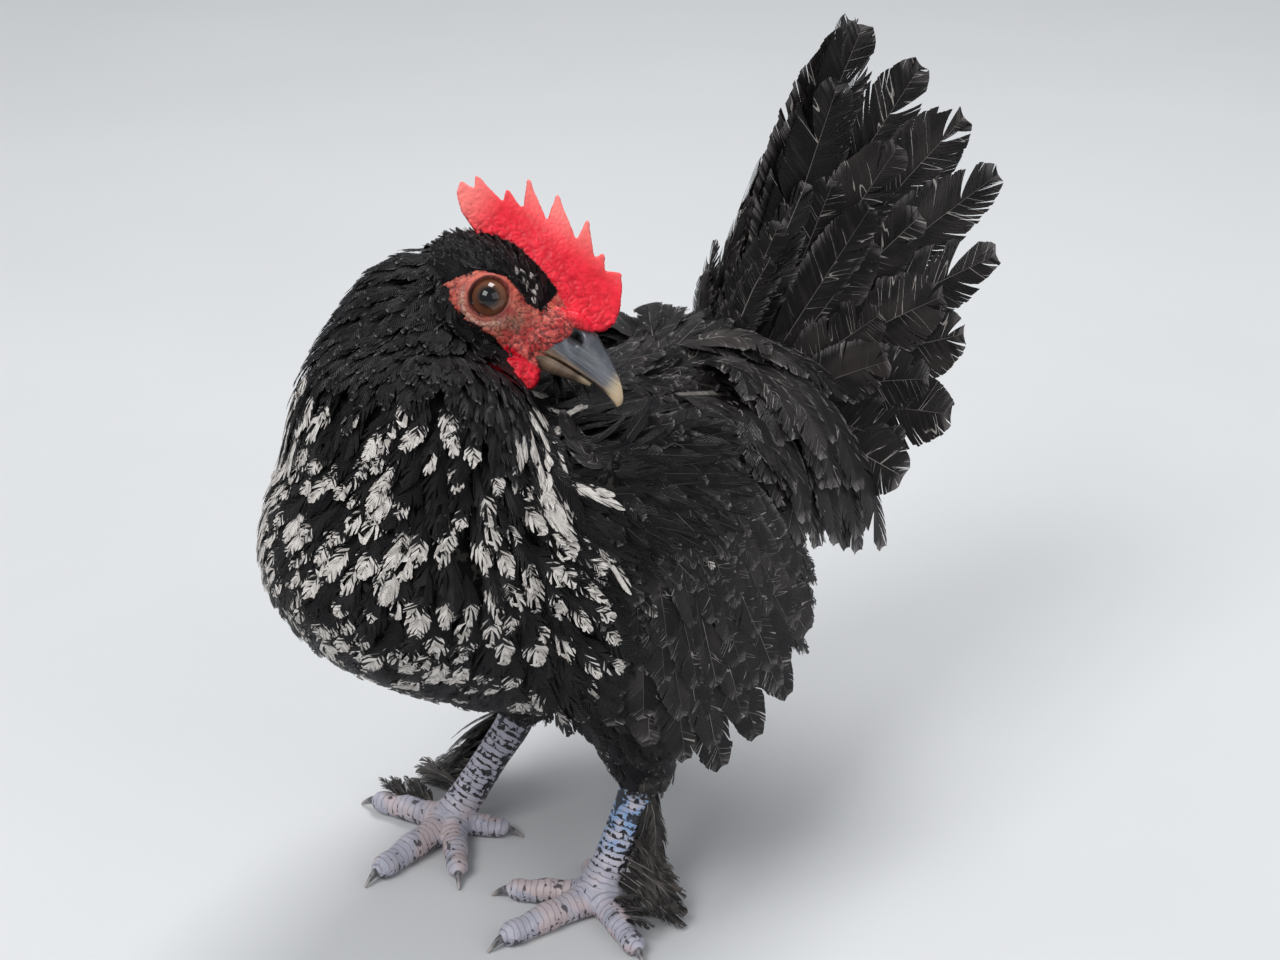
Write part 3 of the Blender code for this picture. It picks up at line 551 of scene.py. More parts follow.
def scale_legs(bm):
    """Scutes across the front of the shanks and the tops of the toes, small scales elsewhere."""
    limbs = leg_limbs()
    scute = bm.verts.layers.float.new("scute")
    front = bm.verts.layers.float.new("front")
    moves = []
    for vert in bm.verts:
        number, share = nearest_limb(vert.co, limbs)
        _, reach = limbs[number]
        is_shank = number % (len(TOES) + 1) == 0
        facing = vert.normal.dot(FORWARD if is_shank else UP)
        weight = clamped((facing + 0.15) / 0.5)
        spot = share * reach.length / SCUTE_PITCH + 0.25 * noise.noise(vert.co * 0.5)
        saw = spot - math.floor(spot)
        plate = SCUTE_RISE * (saw ** 0.7 if saw < 0.86 else (1 - saw) / 0.14 * 0.9)
        cells = noise.voronoi(vert.co * 0.62)[0]
        small = 0.32 * min(0.45, cells[1] - cells[0])
        vert[scute] = math.floor(spot) + number * 31 + saw
        vert[front] = weight
        moves.append((vert, vert.normal * (plate * weight + small * (1 - weight) - 0.12)))
    for vert, move in moves:
        vert.co += move
        vert.co.z = max(0.05, vert.co.z)


def pale_share(points):
    """The share of white in the coat at points, in the bird's frame."""
    x, y, z = points.T
    below_neck = rise_and_fall(z, 150.5, 144)
    low = 0.3 + 0.7 * rise_and_fall(z, 62, 112)
    front = rise_and_fall(y + 0.68 * np.maximum(0, np.abs(x) - 18), 16, 4)
    throat = rise_and_fall(np.hypot(x + 2, y + 2), 13, 19)
    return below_neck * low * front * throat


def union(first, others):
    """The closed surface of first and others together."""
    operands = bpy.data.collections.new("operands")
    bpy.context.scene.collection.children.link(operands)
    for other in others:
        operands.objects.link(other)
    join = first.modifiers.new("join", "BOOLEAN")
    join.operation = "UNION"
    join.operand_type = "COLLECTION"
    join.collection = operands
    join.solver = "MANIFOLD"
    mesh = applied(first)
    for other in others:
        bpy.data.objects.remove(other, do_unlink=True)
    bpy.data.collections.remove(operands)
    return mesh


def coordinates(mesh):
    flat = np.zeros(len(mesh.vertices) * 3, np.float32)
    mesh.vertices.foreach_get("co", flat)
    return flat.reshape(-1, 3).astype(float)


def set_floats(mesh, name, values):
    layer = mesh.attributes.get(name) or mesh.attributes.new(name, "FLOAT", "POINT")
    layer.data.foreach_set("value", np.asarray(values, np.float32))


def head_frame_of(points):
    away = points - np.array(HEAD_CENTRE)
    return [away @ np.array(axis) for axis in (HEAD_FORWARD, HEAD_UP, HEAD_SIDE)]


def paint_skin(mesh):
    """Marks on the skin where it is bare, the parts of the bare head, and how pale its coat is."""
    points = coordinates(mesh)
    forward, up, side = head_frame_of(points)
    near_head = (np.abs(side) < 14) & (forward > -25) & (up > -16) & (points[:, 2] > 130)
    bare = bare_share(forward, up, side) & near_head
    comb = rise_and_fall(up, 6.5, 9.5) * (skull_share(forward, up, side) > 1.03) * bare
    wattle = (forward > 9.5) * (up < -5.2) * bare
    reach = eye_reach(forward, up)
    gape = rise_and_fall(np.hypot((forward - 12.2) / 1.6, up + 4.4), 3.4, 1.6)
    low_front = rise_and_fall(forward - 0.4 * up, 9, 14)
    below_eye = rise_and_fall(up, 1.0, -3.0)
    marks = {
        "bare": bare,
        "comb": np.clip(comb + wattle, 0, 1),
        "tips": np.maximum(rise_and_fall(up, 19, 29), rise_and_fall(forward, -9, -20)) * comb,
        "lore": np.exp(-((forward - 8.5) / 4.2) ** 2 - ((up + 1.2) / 4) ** 2) * bare,
        "gape": np.clip(gape + low_front, 0, 1) * bare,
        "lid": np.exp(-((reach - 4.5) / 0.42) ** 2) * bare,
        "lower_lid": np.exp(-((reach - SECOND_LID) / 0.8) ** 2) * below_eye * bare,
        "pale": pale_share(points),
    }
    for key, values in marks.items():
        set_floats(mesh, key, values)


# Feathers

class Vane:
    """One feather's barbs as strips in shares: along the shaft, across in half widths, raised.

    Barbs cling in clumps that slip along the edge by split and lift off by loose; a stray
    clump, which fray makes more likely, slips further and is shorter.
    """

    def __init__(self, strips, steps, seed, advance=0.22, ragged=0.12, split=0.03, loose=0.04,
                 gap=0.25, fullest=0.6, root_share=0.3, shaft=0.06, start=0.04, clump=(1, 3),
                 pointed=0.5, fray=0.1):
        self.draw = random.Random(seed)
        self.bm = bmesh.new()
        self.raised = self.bm.verts.layers.float.new("raised")
        self.is_shaft = self.bm.verts.layers.float.new("is_shaft")

        def outline(t):
            if t < fullest:
                return root_share + (1 - root_share) * math.sin(math.pi / 2 * t / fullest)
            return max(0.0, 1 - ((t - fullest) / (1.01 - fullest)) ** 2) ** pointed

        draw = self.draw
        for side in (-1, 1):
            left = 0
            for j in range(strips):
                if left == 0:
                    left = draw.randint(*clump)
                    stray = draw.random() < fray
                    slip = draw.uniform(-1, 1) * (3 if stray else 1)
                    short = draw.uniform(0.75, 0.95) if stray else 1
                    lift = draw.random()
                left -= 1
                low = start + (0.99 - start) * j / strips
                high = start + (0.99 - start) * (j + 1) / strips
                worn = 0.4 + 1.2 * low * low
                reach = (1 - ragged * worn * draw.random()) * short
                sweep = min(advance * (1 - 0.35 * low), 0.93 * (1 - low)) + split * worn * slip
                for vert in self.strip(1, steps, side < 0):
                    across, f = (vert.co.x + 1) / 2, (vert.co.y + 1) / 2
                    base = low + (high - low) * (0.5 + (across - 0.5) * (1.1 - gap * worn * f * f))
                    end = min(0.998, base + sweep)
                    t = base + (end - base) * f ** 1.3
                    vert.co = (side * f * outline(end) * (1 - (1 - reach) * f), t, 0)
                    vert[self.raised] = loose * (lift * f * f + 0.3 * across)
        if shaft:
            for vert in self.strip(2, max(2, steps), False):
                t = (vert.co.y + 1) / 2 * 0.97
                ridge = 1 - abs(vert.co.x)
                half = shaft * (1 - 0.85 * t)
                vert.co = (vert.co.x * half, t, 0)
                vert[self.raised] = loose * 0.3 + ridge * half * 1.2 + 0.02
                vert[self.is_shaft] = 1
        verts = self.bm.verts
        verts.index_update()
        self.across = np.array([v.co.x for v in verts])
        self.along = np.array([v.co.y for v in verts])
        self.lift = np.array([v[self.raised] for v in verts])
        self.quill = np.array([v[self.is_shaft] for v in verts])
        self.faces = np.array([[v.index for v in face.verts] for face in self.bm.faces])
        self.bm.free()

    def strip(self, across, along, turned):
        """A new grid from -1 to 1 both ways, turned over where it is a left barb."""
        made = bmesh.ops.create_grid(self.bm, x_segments=across, y_segments=along, size=1)["verts"]
        if turned:
            faces = {face for vert in made for face in vert.link_faces}
            bmesh.ops.reverse_faces(self.bm, faces=list(faces))
        return made


def unit(vectors):
    return vectors / np.maximum(1e-9, np.linalg.norm(vectors, axis=-1, keepdims=True))


class Plumes:
    """A growing list of feathers: root, middle and tip of each curve, facing, width and tints."""

    def __init__(self):
        self.rows = []

    def add(self, root, middle, tip, facing, width, white, tone, seed):
        self.rows.append((*root, *middle, *tip, *facing, width, white, tone, seed))

    def grow(self, root, middle, tip, facing, width, draw, side=LEFT):
        """Adds a feather with no white, laid out for the left side."""
        curve = [mirrored(point, side) for point in (root, middle, tip, facing)]
        self.add(*curve, width, 0.0, draw.random(), draw.random())

    def table(self):
        return np.array(self.rows, float)


def coat_piece(name, plumes, vanes, look):
    """One mesh of many feathers, each a bent copy of one of a few vanes."""
    table = plumes.table()
    co, quads, uv, bake, per = [], [], [], [], {"white": [], "tone": [], "seed": [], "shaft": []}
    offset = 0
    for number, vane in enumerate(vanes):
        rows = table[number::len(vanes)]
        if not len(rows):
            continue
        root, middle, tip, facing = [rows[:, k:k + 3][:, None] for k in (0, 3, 6, 9)]
        t, s = vane.along[None, :, None], vane.across[None, :, None]
        centre = root * (1 - t) ** 2 + middle * (2 * t * (1 - t)) + tip * t * t
        along = unit((middle - root) * (1 - t) + (tip - middle) * t)
        across = unit(np.cross(along, facing))
        above = np.cross(across, along)
        half = rows[:, 12][:, None, None] / 2
        lift = vane.lift[None, :, None] - CAMBER * s * s
        points = centre + across * (s * half) + above * (lift * half)
        count, corners = len(rows), len(vane.along)
        co.append(points.reshape(-1, 3))
        starts = np.arange(count)[:, None, None] * corners + offset
        quads.append((vane.faces[None] + starts).reshape(-1, 4))
        pattern = np.stack([vane.across * 0.5 + 0.5, vane.along], 1)
        uv.append(np.tile(pattern, (count, 1)))
        patch = (pattern - 0.5) * PATCH
        bake.append((unwrapped(rows[:, 0:3])[:, None] + patch[None]).reshape(-1, 2))
        for key, column in (("white", 13), ("tone", 14), ("seed", 15)):
            per[key].append(np.repeat(rows[:, column], corners))
        per["shaft"].append(np.tile(vane.quill, count))
        offset += count * corners
    co, quads = np.concatenate(co), np.concatenate(quads)
    mesh = bpy.data.meshes.new(name)
    mesh.vertices.add(len(co))
    mesh.vertices.foreach_set("co", co.astype(np.float32).ravel())
    mesh.loops.add(quads.size)
    mesh.loops.foreach_set("vertex_index", quads.ravel().astype(np.int32))
    mesh.polygons.add(len(quads))
    mesh.polygons.foreach_set("loop_start", np.arange(len(quads), dtype=np.int32) * 4)
    mesh.update(calc_edges=True)
    mesh.polygons.foreach_set("use_smooth", np.ones(len(quads), bool))
    for key, values in (("vane", uv), ("OFBake", bake)):
        layer = mesh.uv_layers.new(name=key)
        spots = np.concatenate(values)[quads.ravel()]
        layer.data.foreach_set("uv", spots.astype(np.float32).ravel())
    for key, values in per.items():
        set_floats(mesh, key, np.concatenate(values))
    made = placed(name, mesh, look)
    return made


def unwrapped(points):
    """Places on an unwrap of the bird's own shape: body, neck, wings, tail and legs in tiles."""
    x, y, z = points.T
    turn = np.arctan2(x, z - 105) / (2 * math.pi) + 0.5
    body = np.stack([0.01 + 0.47 * turn, 0.01 + 0.47 * (y + 70) / 150], 1)
    round_neck = np.arctan2(x + 6, -(y + 20)) / (2 * math.pi) + 0.5
    neck = np.stack([0.51 + 0.47 * round_neck, 0.01 + 0.47 * (z - 100) / 90], 1)
    side = np.where(x > 0, 0.25, 0.0)
    wing = np.stack([side + 0.01 + 0.22 * (y + 20) / 90, 0.51 + 0.47 * (z - 30) / 120], 1)
    tail = np.stack([0.51 + 0.47 * (np.arctan2(x, z - 100) / math.pi + 0.5),
                     0.76 + 0.23 * (y - 40) / 50], 1)
    leg = np.stack([0.51 + 0.47 * (x + 55) / 110, 0.51 + 0.23 * (y + 40) / 90], 1)
    place = body
    place = np.where((z > 118 + 0.3 * y)[:, None] & (y < 8)[:, None], neck, place)
    place = np.where((np.abs(x) > 38)[:, None] & (z > 40)[:, None], wing, place)
    place = np.where((y > 48)[:, None], tail, place)
    place = np.where((z < 40)[:, None], leg, place)
    return np.clip(place, 0.004, 0.996)


class Surface:
    """A surface to root feathers on or to lay them along."""

    def __init__(self, bm):
        self.tree = BVHTree.FromBMesh(bm)
        copy = bm.copy()
        bmesh.ops.triangulate(copy, faces=copy.faces)
        self.corners = np.array([[v.co for v in face.verts] for face in copy.faces], float)
        copy.free()

    def nearest(self, point):
        spot, normal, _, _ = self.tree.find_nearest(point)
        return spot, normal

    def scatter(self, spacing, wanted, seed):
        """Roots about spacing apart where wanted says so, each with its normal."""
        draw = np.random.default_rng(seed)
        a, b, c = self.corners[:, 0], self.corners[:, 1], self.corners[:, 2]
        cross = np.cross(b - a, c - a)
        area = np.linalg.norm(cross, axis=1) / 2
        keep = wanted(self.corners.mean(1))
        area = area * keep
        count = int(area.sum() / spacing ** 2 * 4)
        pick = draw.choice(len(area), count, p=area / area.sum())
        u, v = draw.random(count), draw.random(count)
        over = u + v > 1
        u[over], v[over] = 1 - u[over], 1 - v[over]
        spots = a[pick] + (b - a)[pick] * u[:, None] + (c - a)[pick] * v[:, None]
        normals = unit(cross[pick])
        cells, taken = {}, []
        keys = np.floor(spots / spacing).astype(int)
        for k in range(count):
            i, j, l = keys[k]
            near = [cells.get((i + p, j + q, l + r), ())
                    for p in (-1, 0, 1) for q in (-1, 0, 1) for r in (-1, 0, 1)]
            spot = spots[k]
            if any((spot[0] - o[0]) ** 2 + (spot[1] - o[1]) ** 2 + (spot[2] - o[2]) ** 2
                   < spacing ** 2 for group in near for o in group):
                continue
            cells.setdefault((i, j, l), []).append(tuple(spot))
            taken.append(k)
        return [(Vector(spots[k]), Vector(normals[k])) for k in taken]


def lie_of_coat(point):
    """Which way the feathers point: down the neck, fanned over the breast, back to the tail."""
    by_wing = float(rise_and_fall(abs(point.x), 22, 34) * rise_and_fall(point.y, -40, -22))
    low = float(rise_and_fall(point.z, 152, 132)) * (0.62 + 0.28 * by_wing)
    back = float(rise_and_fall(point.y, -12, 26))
    down = (point - CROWN).normalized()
    fan = (point - THROAT).normalized() + Vector((0, 0.5 * by_wing, 0))
    front = down * (1 - low) + fan * low
    rear = Vector((0.12 * point.x / 40, 1, -0.3))
    lie = front * (1 - back) + rear * back
    if point.z < 62:
        lie = lie.lerp(Vector((0, 0.5, -1)), min(1, (62 - point.z) / 12))
    return lie


def at(value, spot):
    """A value that may depend on the spot."""
    return value(spot) if callable(value) else value


def cover(plumes, roots, outer, length, width, lift, draw, lie, pale, spread):
    """Lays a feather from each root out to the outer surface, along the lie of the coat."""
    for spot, normal in roots:
        way = lie(spot)
        way = (way - normal * way.dot(normal)).normalized()
        way += normal.cross(way) * draw.uniform(-spread, spread)
        long = at(length, spot) * draw.uniform(0.85, 1.15)
        wide = at(width, spot) * draw.uniform(0.85, 1.15)
        half_way, face = outer.nearest(spot + way * long * 0.5)
        end, end_face = outer.nearest(spot + way * long)
        rise = at(lift, spot) * draw.uniform(0.4, 1.6)
        if end_face.dot(normal) < ACROSS_A_FOLD:
            continue
        end += end_face * rise
        half_way += face * (0.1 * rise)
        control = half_way * 2 - (spot + end) / 2
        white = pale(end, draw) if pale else 0.0
        plumes.add(spot - normal * 0.4, control, end, (face + end_face).normalized(), wide, white,
                   draw.random(), draw.random())


def white_tip(tip, draw):
    """How much of a feather's end is white, by where its tip lies."""
    pale = float(pale_share(np.array([tip]))[0]) * (0.88 + 0.8 * noise.noise(tip * 0.09))
    return draw.uniform(0.35, 0.65 + 0.7 * pale) if draw.random() < pale else 0.0


def white_streak(tip, draw):
    pale = float(pale_share(np.array([tip]))[0])
    return draw.uniform(0.45, 1.0) if draw.random() < pale * 0.85 else 0.0


def few_flecks(tip, draw):
    return draw.uniform(0.05, 0.12) if draw.random() < 0.05 else 0.0


# Finishes

class Paint:
    """One finish, built up from nodes."""

    def __init__(self, name, roughness=0.5, **constants):
        self.material = bpy.data.materials.new(name)
        self.material.use_nodes = True
        self.tree = self.material.node_tree
        self.shader = self.tree.nodes["Principled BSDF"]
        self.shader.inputs["Roughness"].default_value = roughness
        for key, value in constants.items():
            self.shader.inputs[key.replace("_", " ")].default_value = value

    def node(self, kind, values=(), **settings):
        made = self.tree.nodes.new(kind)
        for key, value in settings.items():
            setattr(made, key, value)
        for socket, value in enumerate(values):
            self.put(made.inputs[socket], value)
        return made

    def put(self, socket, value):
        if isinstance(value, bpy.types.NodeSocket):
            self.tree.links.new(value, socket)
        elif value is not None:
            socket.default_value = value

    def math(self, operation, *values):
        return self.node("ShaderNodeMath", values, operation=operation).outputs[0]

    def times(self, first, second):
        return self.math("MULTIPLY", first, second)

    def plus(self, first, second):
        return self.math("ADD", first, second)

    def minus(self, first, second):
        return self.math("SUBTRACT", first, second)

    def most(self, first, second):
        return self.math("MAXIMUM", first, second)

    def scaled(self, value, factor, added):
        return self.math("MULTIPLY_ADD", value, factor, added)

    def step(self, value, low, high):
        made = self.node("ShaderNodeMapRange", interpolation_type="SMOOTHSTEP")
        for name, given in (("Value", value), ("From Min", low), ("From Max", high)):
            self.put(made.inputs[name], given)
        return made.outputs[0]

    def mix(self, share, first, second):
        made = self.node("ShaderNodeMix", data_type="RGBA")
        for socket, value in zip((made.inputs[0], made.inputs[6], made.inputs[7]),
                                 (share, first, second)):
            if isinstance(value, tuple):
                value = (*value, 1)
            self.put(socket, value)
        return made.outputs[2]

    def attribute(self, name):
        return self.node("ShaderNodeAttribute", attribute_name=name).outputs["Fac"]

    def attributes(self, *names):
        return [self.attribute(name) for name in names]

    def vector(self, *values):
        return self.node("ShaderNodeCombineXYZ", values).outputs[0]

    def place(self):
        return self.node("ShaderNodeTexCoord").outputs["Object"]

    def noise(self, vector, scale, detail=2.0):
        made = self.node("ShaderNodeTexNoise")
        self.put(made.inputs["Vector"], vector)
        made.inputs["Scale"].default_value = scale
        made.inputs["Detail"].default_value = detail
        return made.outputs[0]

    def cells(self, vector, scale):
        """The distance to the edge of the nearest cell."""
        made = self.node("ShaderNodeTexVoronoi", feature="DISTANCE_TO_EDGE")
        self.put(made.inputs["Vector"], vector)
        made.inputs["Scale"].default_value = scale
        return made.outputs[0]

    def bump(self, height, strength, distance):
        made = self.node("ShaderNodeBump")
        made.inputs["Strength"].default_value = strength
        made.inputs["Distance"].default_value = distance
        self.put(made.inputs["Height"], height)
        self.put(self.shader.inputs["Normal"], made.outputs[0])

    def colour(self, value):
        self.put(self.shader.inputs["Base Color"], value)

    def rough(self, value):
        self.put(self.shader.inputs["Roughness"], value)


def feather_paint(name, dark, worn, barbs, shaft, shaft_share=0.6, scratches=0.0, rim=0.0,
                  streaked=False, advance=0.2, bright=0.0, sheen=0.2):
    """Barbed vanes: dark, with painted highlight streaks along the barbs, pale edges of wear and
    painted highlight, ragged white where marked, and paler shafts.

    barbs counts them along the shaft, scratches and rim say how strongly pale scratches and the
    pale edges of wear and painted highlight show, and bright how many of the shafts are pale.
    """
    p = Paint(name, 0.5, Specular_IOR_Level=sheen)
    uv = p.node("ShaderNodeUVMap", uv_map="vane").outputs[0]
    across, along, _ = p.node("ShaderNodeSeparateXYZ", (uv,)).outputs
    side = p.math("ABSOLUTE", p.scaled(across, 2.0, -1.0))
    barb = p.minus(along, p.times(side, advance))
    seed, white, tone, quill = p.attributes("seed", "white", "tone", "shaft")
    half = p.times(p.math("GREATER_THAN", across, 0.5), 7.3)

    def speckle(by_barb, by_width, spread, detail):
        """Noise drawn out along the barbs, another one for each half of each feather."""
        spot = p.vector(p.times(barb, by_barb), p.scaled(seed, 57.0, spread),
                        p.scaled(across, by_width, half))
        return p.noise(spot, 1.0, detail)

    grain = speckle(barbs * 0.4, 2.0, 0.0, 3.0)
    blot = speckle(3.0, 2.5, 9.0, 1.0)
    ragged = p.scaled(speckle(barbs * 0.8, 1.0, 23.0, 1.0), 0.7, -0.35)
    edge = p.plus(along, ragged)
    start = p.scaled(white, -0.62 if streaked else -0.42, 1.0)
    whitened = p.times(p.step(p.minus(edge, start), -0.01, 0.04), p.step(white, 0.02, 0.05))
    if streaked:
        reach = p.minus(p.scaled(white, 0.5, 0.1), p.scaled(grain, 0.7, -0.35))
        whitened = p.times(whitened, p.step(p.minus(reach, side), -0.04, 0.06))
    else:
        before_tip = p.minus(p.scaled(tone, 0.35, 0.84), edge)
        aside = p.scaled(across, 2.0, p.scaled(seed, 1.2, -1.6))
        within = p.minus(0.95, p.plus(p.math("ABSOLUTE", aside), ragged))
        for share in (p.step(before_tip, -0.02, 0.03), p.step(within, -0.04, 0.06),
                      p.step(blot, 0.28, 0.34)):
            whitened = p.times(whitened, share)
    base = p.mix(p.times(p.step(blot, 0.35, 0.75), p.step(tone, 0.1, 1.0)), dark, worn)
    # Painted highlight: streaks of the paler worn colour along the barbs, for light caught on them.
    base = p.mix(p.times(p.step(grain, 0.45, 0.75), 0.5), base, worn)
    # Pale outer edges and tips: partly real wear, partly painted highlight where light catches the
    # barbs.
    if rim:
        outer = p.most(p.step(side, 0.68, 0.98), p.step(along, 0.93, 1.0))
        edge_wear_and_glint = p.times(outer, p.step(grain, 0.36, 0.62))
        base = p.mix(p.times(edge_wear_and_glint, rim), base, EDGE_WEAR_AND_GLINT_GREY)
    if scratches:
        streak = speckle(barbs * 0.1, 2.4, 31.0, 0.0)
        wander = speckle(barbs * 0.22, 1.3, 17.0, 0.0)
        thin = p.step(p.math("ABSOLUTE", p.minus(wander, 0.5)), 0.016, 0.005)
        mark = p.times(thin, p.step(streak, 0.54, 0.6))
        base = p.mix(p.times(mark, scratches), base, GREY)
    colour = p.mix(whitened, base, p.mix(p.step(grain, 0.3, 0.62), GREY, BONE))
    pale_shaft = p.mix(p.times(p.step(seed, 0.74, 0.8), bright), shaft, GREY)
    p.colour(p.mix(p.times(quill, shaft_share), colour, pale_shaft))
    p.rough(p.scaled(grain, 0.5, 0.14))
    p.bump(p.math("SINE", p.times(barb, barbs * FULL_TURN)), 0.6, 0.00012)
    return p.material


FULL_TURN = 6.283
BLACK = (0.0035, 0.0033, 0.004)
INK = (0.005, 0.0045, 0.005)
SOOT = (0.019, 0.017, 0.018)
BROWN = (0.042, 0.034, 0.033)
# Pale grey of feather edges: real wear and painted highlight.
EDGE_WEAR_AND_GLINT_GREY = (0.26, 0.24, 0.24)
GREY = (0.4, 0.37, 0.34)
BONE = (0.74, 0.7, 0.66)


FACE_RED, FACE_PALE = (0.36, 0.035, 0.03), (0.6, 0.145, 0.1)
GAPE_RED, GAPE_PALE = (0.44, 0.03, 0.033), (0.62, 0.12, 0.1)
# The crease colours of face and comb are painted shade in the grooves.
LORE_BROWN, CREASE_SHADE = (0.17, 0.1, 0.065), (0.09, 0.025, 0.02)
LID_BROWN, LID_PALE, LID_DARK = (0.2, 0.1, 0.075), (0.55, 0.38, 0.3), (0.035, 0.02, 0.016)
COMB_RED, COMB_BRIGHT = (0.66, 0.006, 0.022), (0.86, 0.018, 0.042)
COMB_CREASE_SHADE, COMB_TIP, VEIN = (0.36, 0.002, 0.01), (0.96, 0.25, 0.22), (0.33, 0.01, 0.014)
UNDER_COAT = (0.035, 0.033, 0.03)


def skin_paint():
    """Mottled red face, comb and wattles with painted shade in their creases, and dark skin under
    the coat.
    """
    p = Paint("bare_skin", 0.42, Subsurface_Scale=0.002, Subsurface_Radius=(1.0, 0.25, 0.12))
    place = p.place()
    bare, comb, tips, crease = p.attributes("bare", "comb", "tips", "crease")
    lid, lower_lid, lore, gape = p.attributes("lid", "lower_lid", "lore", "gape")
    mottle, fine = p.noise(place, 420.0, 3.0), p.noise(place, 1900.0, 3.0)
    veins = p.cells(place, 900.0)
    face = p.mix(p.step(mottle, 0.35, 0.62), FACE_RED, FACE_PALE)
    face = p.mix(p.times(lore, p.step(mottle, 0.25, 0.6)), face, LORE_BROWN)
    face = p.mix(gape, face, p.mix(p.step(mottle, 0.35, 0.65), GAPE_RED, GAPE_PALE))
    # Painted shade in the creases of the face.
    face = p.mix(p.times(p.step(crease, 0.1, 0.8), 0.85), face, CREASE_SHADE)
    folds = p.mix(p.step(fine, 0.35, 0.6), LID_BROWN, LID_PALE)
    face = p.mix(p.times(lower_lid, 0.8), face, folds)
    face = p.mix(p.times(lid, 0.95), face, LID_DARK)
    red = p.mix(p.step(mottle, 0.3, 0.65), COMB_RED, COMB_BRIGHT)
    # Painted shade in the creases of the comb.
    red = p.mix(p.times(crease, 0.8), red, COMB_CREASE_SHADE)
    red = p.mix(p.times(tips, 0.85), red, COMB_TIP)
    flesh = p.mix(comb, face, red)
    flesh = p.mix(p.times(p.step(veins, 0.1, 0.02), 0.1), flesh, VEIN)
    clouds = p.step(p.noise(place, 480.0, 4.0), 0.5, 0.6)
    under = p.mix(p.times(clouds, p.attribute("pale")), BLACK, UNDER_COAT)
    p.colour(p.mix(bare, under, flesh))
    p.put(p.shader.inputs["Subsurface Weight"], p.times(bare, 0.12))
    p.put(p.shader.inputs["Specular IOR Level"], p.scaled(bare, 0.25, 0.05))
    p.rough(p.scaled(fine, 0.3, 0.27))
    p.bump(p.plus(p.times(fine, 0.6), p.times(veins, 0.3)), 0.5, 0.0002)
    return p.material


LILAC, SLATE_LILAC, SOLE_PINK = (0.56, 0.53, 0.6), (0.42, 0.42, 0.5), (0.56, 0.46, 0.47)
SHANK_BLUE, TOE_DARK, SHANK_DARK = (0.27, 0.42, 0.68), (0.07, 0.062, 0.072), (0.018, 0.017, 0.021)


def leg_paint():
    """Lilac-white scales with dark lines between them and black marks, mostly on the shanks."""
    p = Paint("leg_scales", 0.45, Specular_IOR_Level=0.4)
    place = p.place()
    x, _, z = p.node("ShaderNodeSeparateXYZ", (place,)).outputs
    scute, front = p.attributes("scute", "front")
    saw, number = p.math("FRACT", scute), p.math("FLOOR", scute)
    blotch, fleck = p.noise(place, 260.0, 2.0), p.noise(place, 700.0, 2.0)
    by_plate = p.noise(p.vector(p.times(number, 7.31), 0.0, 0.0), 1.0, 0.0)
    high = p.step(z, 0.007, 0.014)
    behind = p.minus(1.0, front)
    bars = p.times(p.step(saw, 0.74, 0.86), front)
    gaps = p.times(p.step(p.cells(place, 620.0), 0.09, 0.02), behind)
    lines = p.times(p.most(bars, gaps), p.scaled(high, 0.2, 0.42))
    marked = p.scaled(high, 0.16, p.scaled(by_plate, 0.25, p.scaled(behind, 0.17, -0.19)))
    low_edge = p.times(p.step(saw, 0.3, 0.8), 0.16)
    black = p.step(p.plus(p.plus(fleck, marked), low_edge), 0.72, 0.76)
    patch = p.times(p.step(p.plus(blotch, p.times(high, 0.05)), 0.64, 0.68), 0.95)
    dark = p.most(lines, p.most(black, patch))
    tint = p.mix(p.step(blotch, 0.3, 0.6), LILAC, SLATE_LILAC)
    flushed = p.times(p.step(p.noise(place, 110.0, 1.0), 0.45, 0.6), p.step(z, 0.014, 0.004))
    tint = p.mix(flushed, tint, SOLE_PINK)
    mid_shank = p.times(p.step(z, 0.014, 0.019), p.step(z, 0.034, 0.028))
    blue = p.times(p.step(x, 0.012, 0.016), mid_shank)
    tint = p.mix(p.times(blue, p.step(blotch, 0.35, 0.6)), tint, SHANK_BLUE)
    p.colour(p.mix(dark, tint, p.mix(high, TOE_DARK, SHANK_DARK)))
    p.rough(p.scaled(p.noise(place, 1500.0), 0.3, 0.32))
    p.bump(p.noise(place, 1700.0, 3.0), 0.35, 0.0002)
    return p.material


SLATE, SLATE_PALE = (0.045, 0.05, 0.06), (0.13, 0.14, 0.16)
GAPE_BROWN, GAPE_TAN = (0.1, 0.06, 0.035), (0.28, 0.19, 0.12)
# The near black of the nostrils is painted shade in their openings.
HORN, HORN_PALE, NOSTRIL_SHADE = (0.52, 0.38, 0.22), (0.66, 0.53, 0.36), (0.004, 0.004, 0.004)


def beak_paint():
    """Slate horn that turns to horn yellow at the tip and brown along the cutting edge, with
    painted shade in the nostrils.
    """
    p = Paint("beak_slate", 0.25, Coat_Weight=0.25, Coat_Roughness=0.2)
    place = p.place()
    ahead, edge, hole = p.attributes("ahead", "edge", "hole")
    streak = p.noise(p.vector(p.times(ahead, 3.0), p.times(edge, 22.0), 0.0), 1.0, 3.0)
    dark = p.step(streak, 0.35, 0.65)
    slate = p.mix(dark, SLATE, SLATE_PALE)
    body = p.mix(p.step(edge, 0.35, 0.05), slate, p.mix(dark, GAPE_BROWN, GAPE_TAN))
    tip = p.step(p.plus(ahead, p.scaled(streak, 0.14, -0.07)), 0.76, 0.93)
    body = p.mix(tip, body, p.mix(streak, HORN, HORN_PALE))
    # Painted shade inside the nostril's opening.
    p.colour(p.mix(hole, body, NOSTRIL_SHADE))
    open_share = p.minus(1.0, hole)
    p.put(p.shader.inputs["Coat Weight"], p.times(open_share, 0.25))
    p.put(p.shader.inputs["Specular IOR Level"], p.times(open_share, 0.5))
    p.rough(p.scaled(p.noise(place, 900.0), 0.2, 0.18))
    p.bump(p.noise(place, 1200.0, 3.0), 0.2, 0.0002)
    return p.material


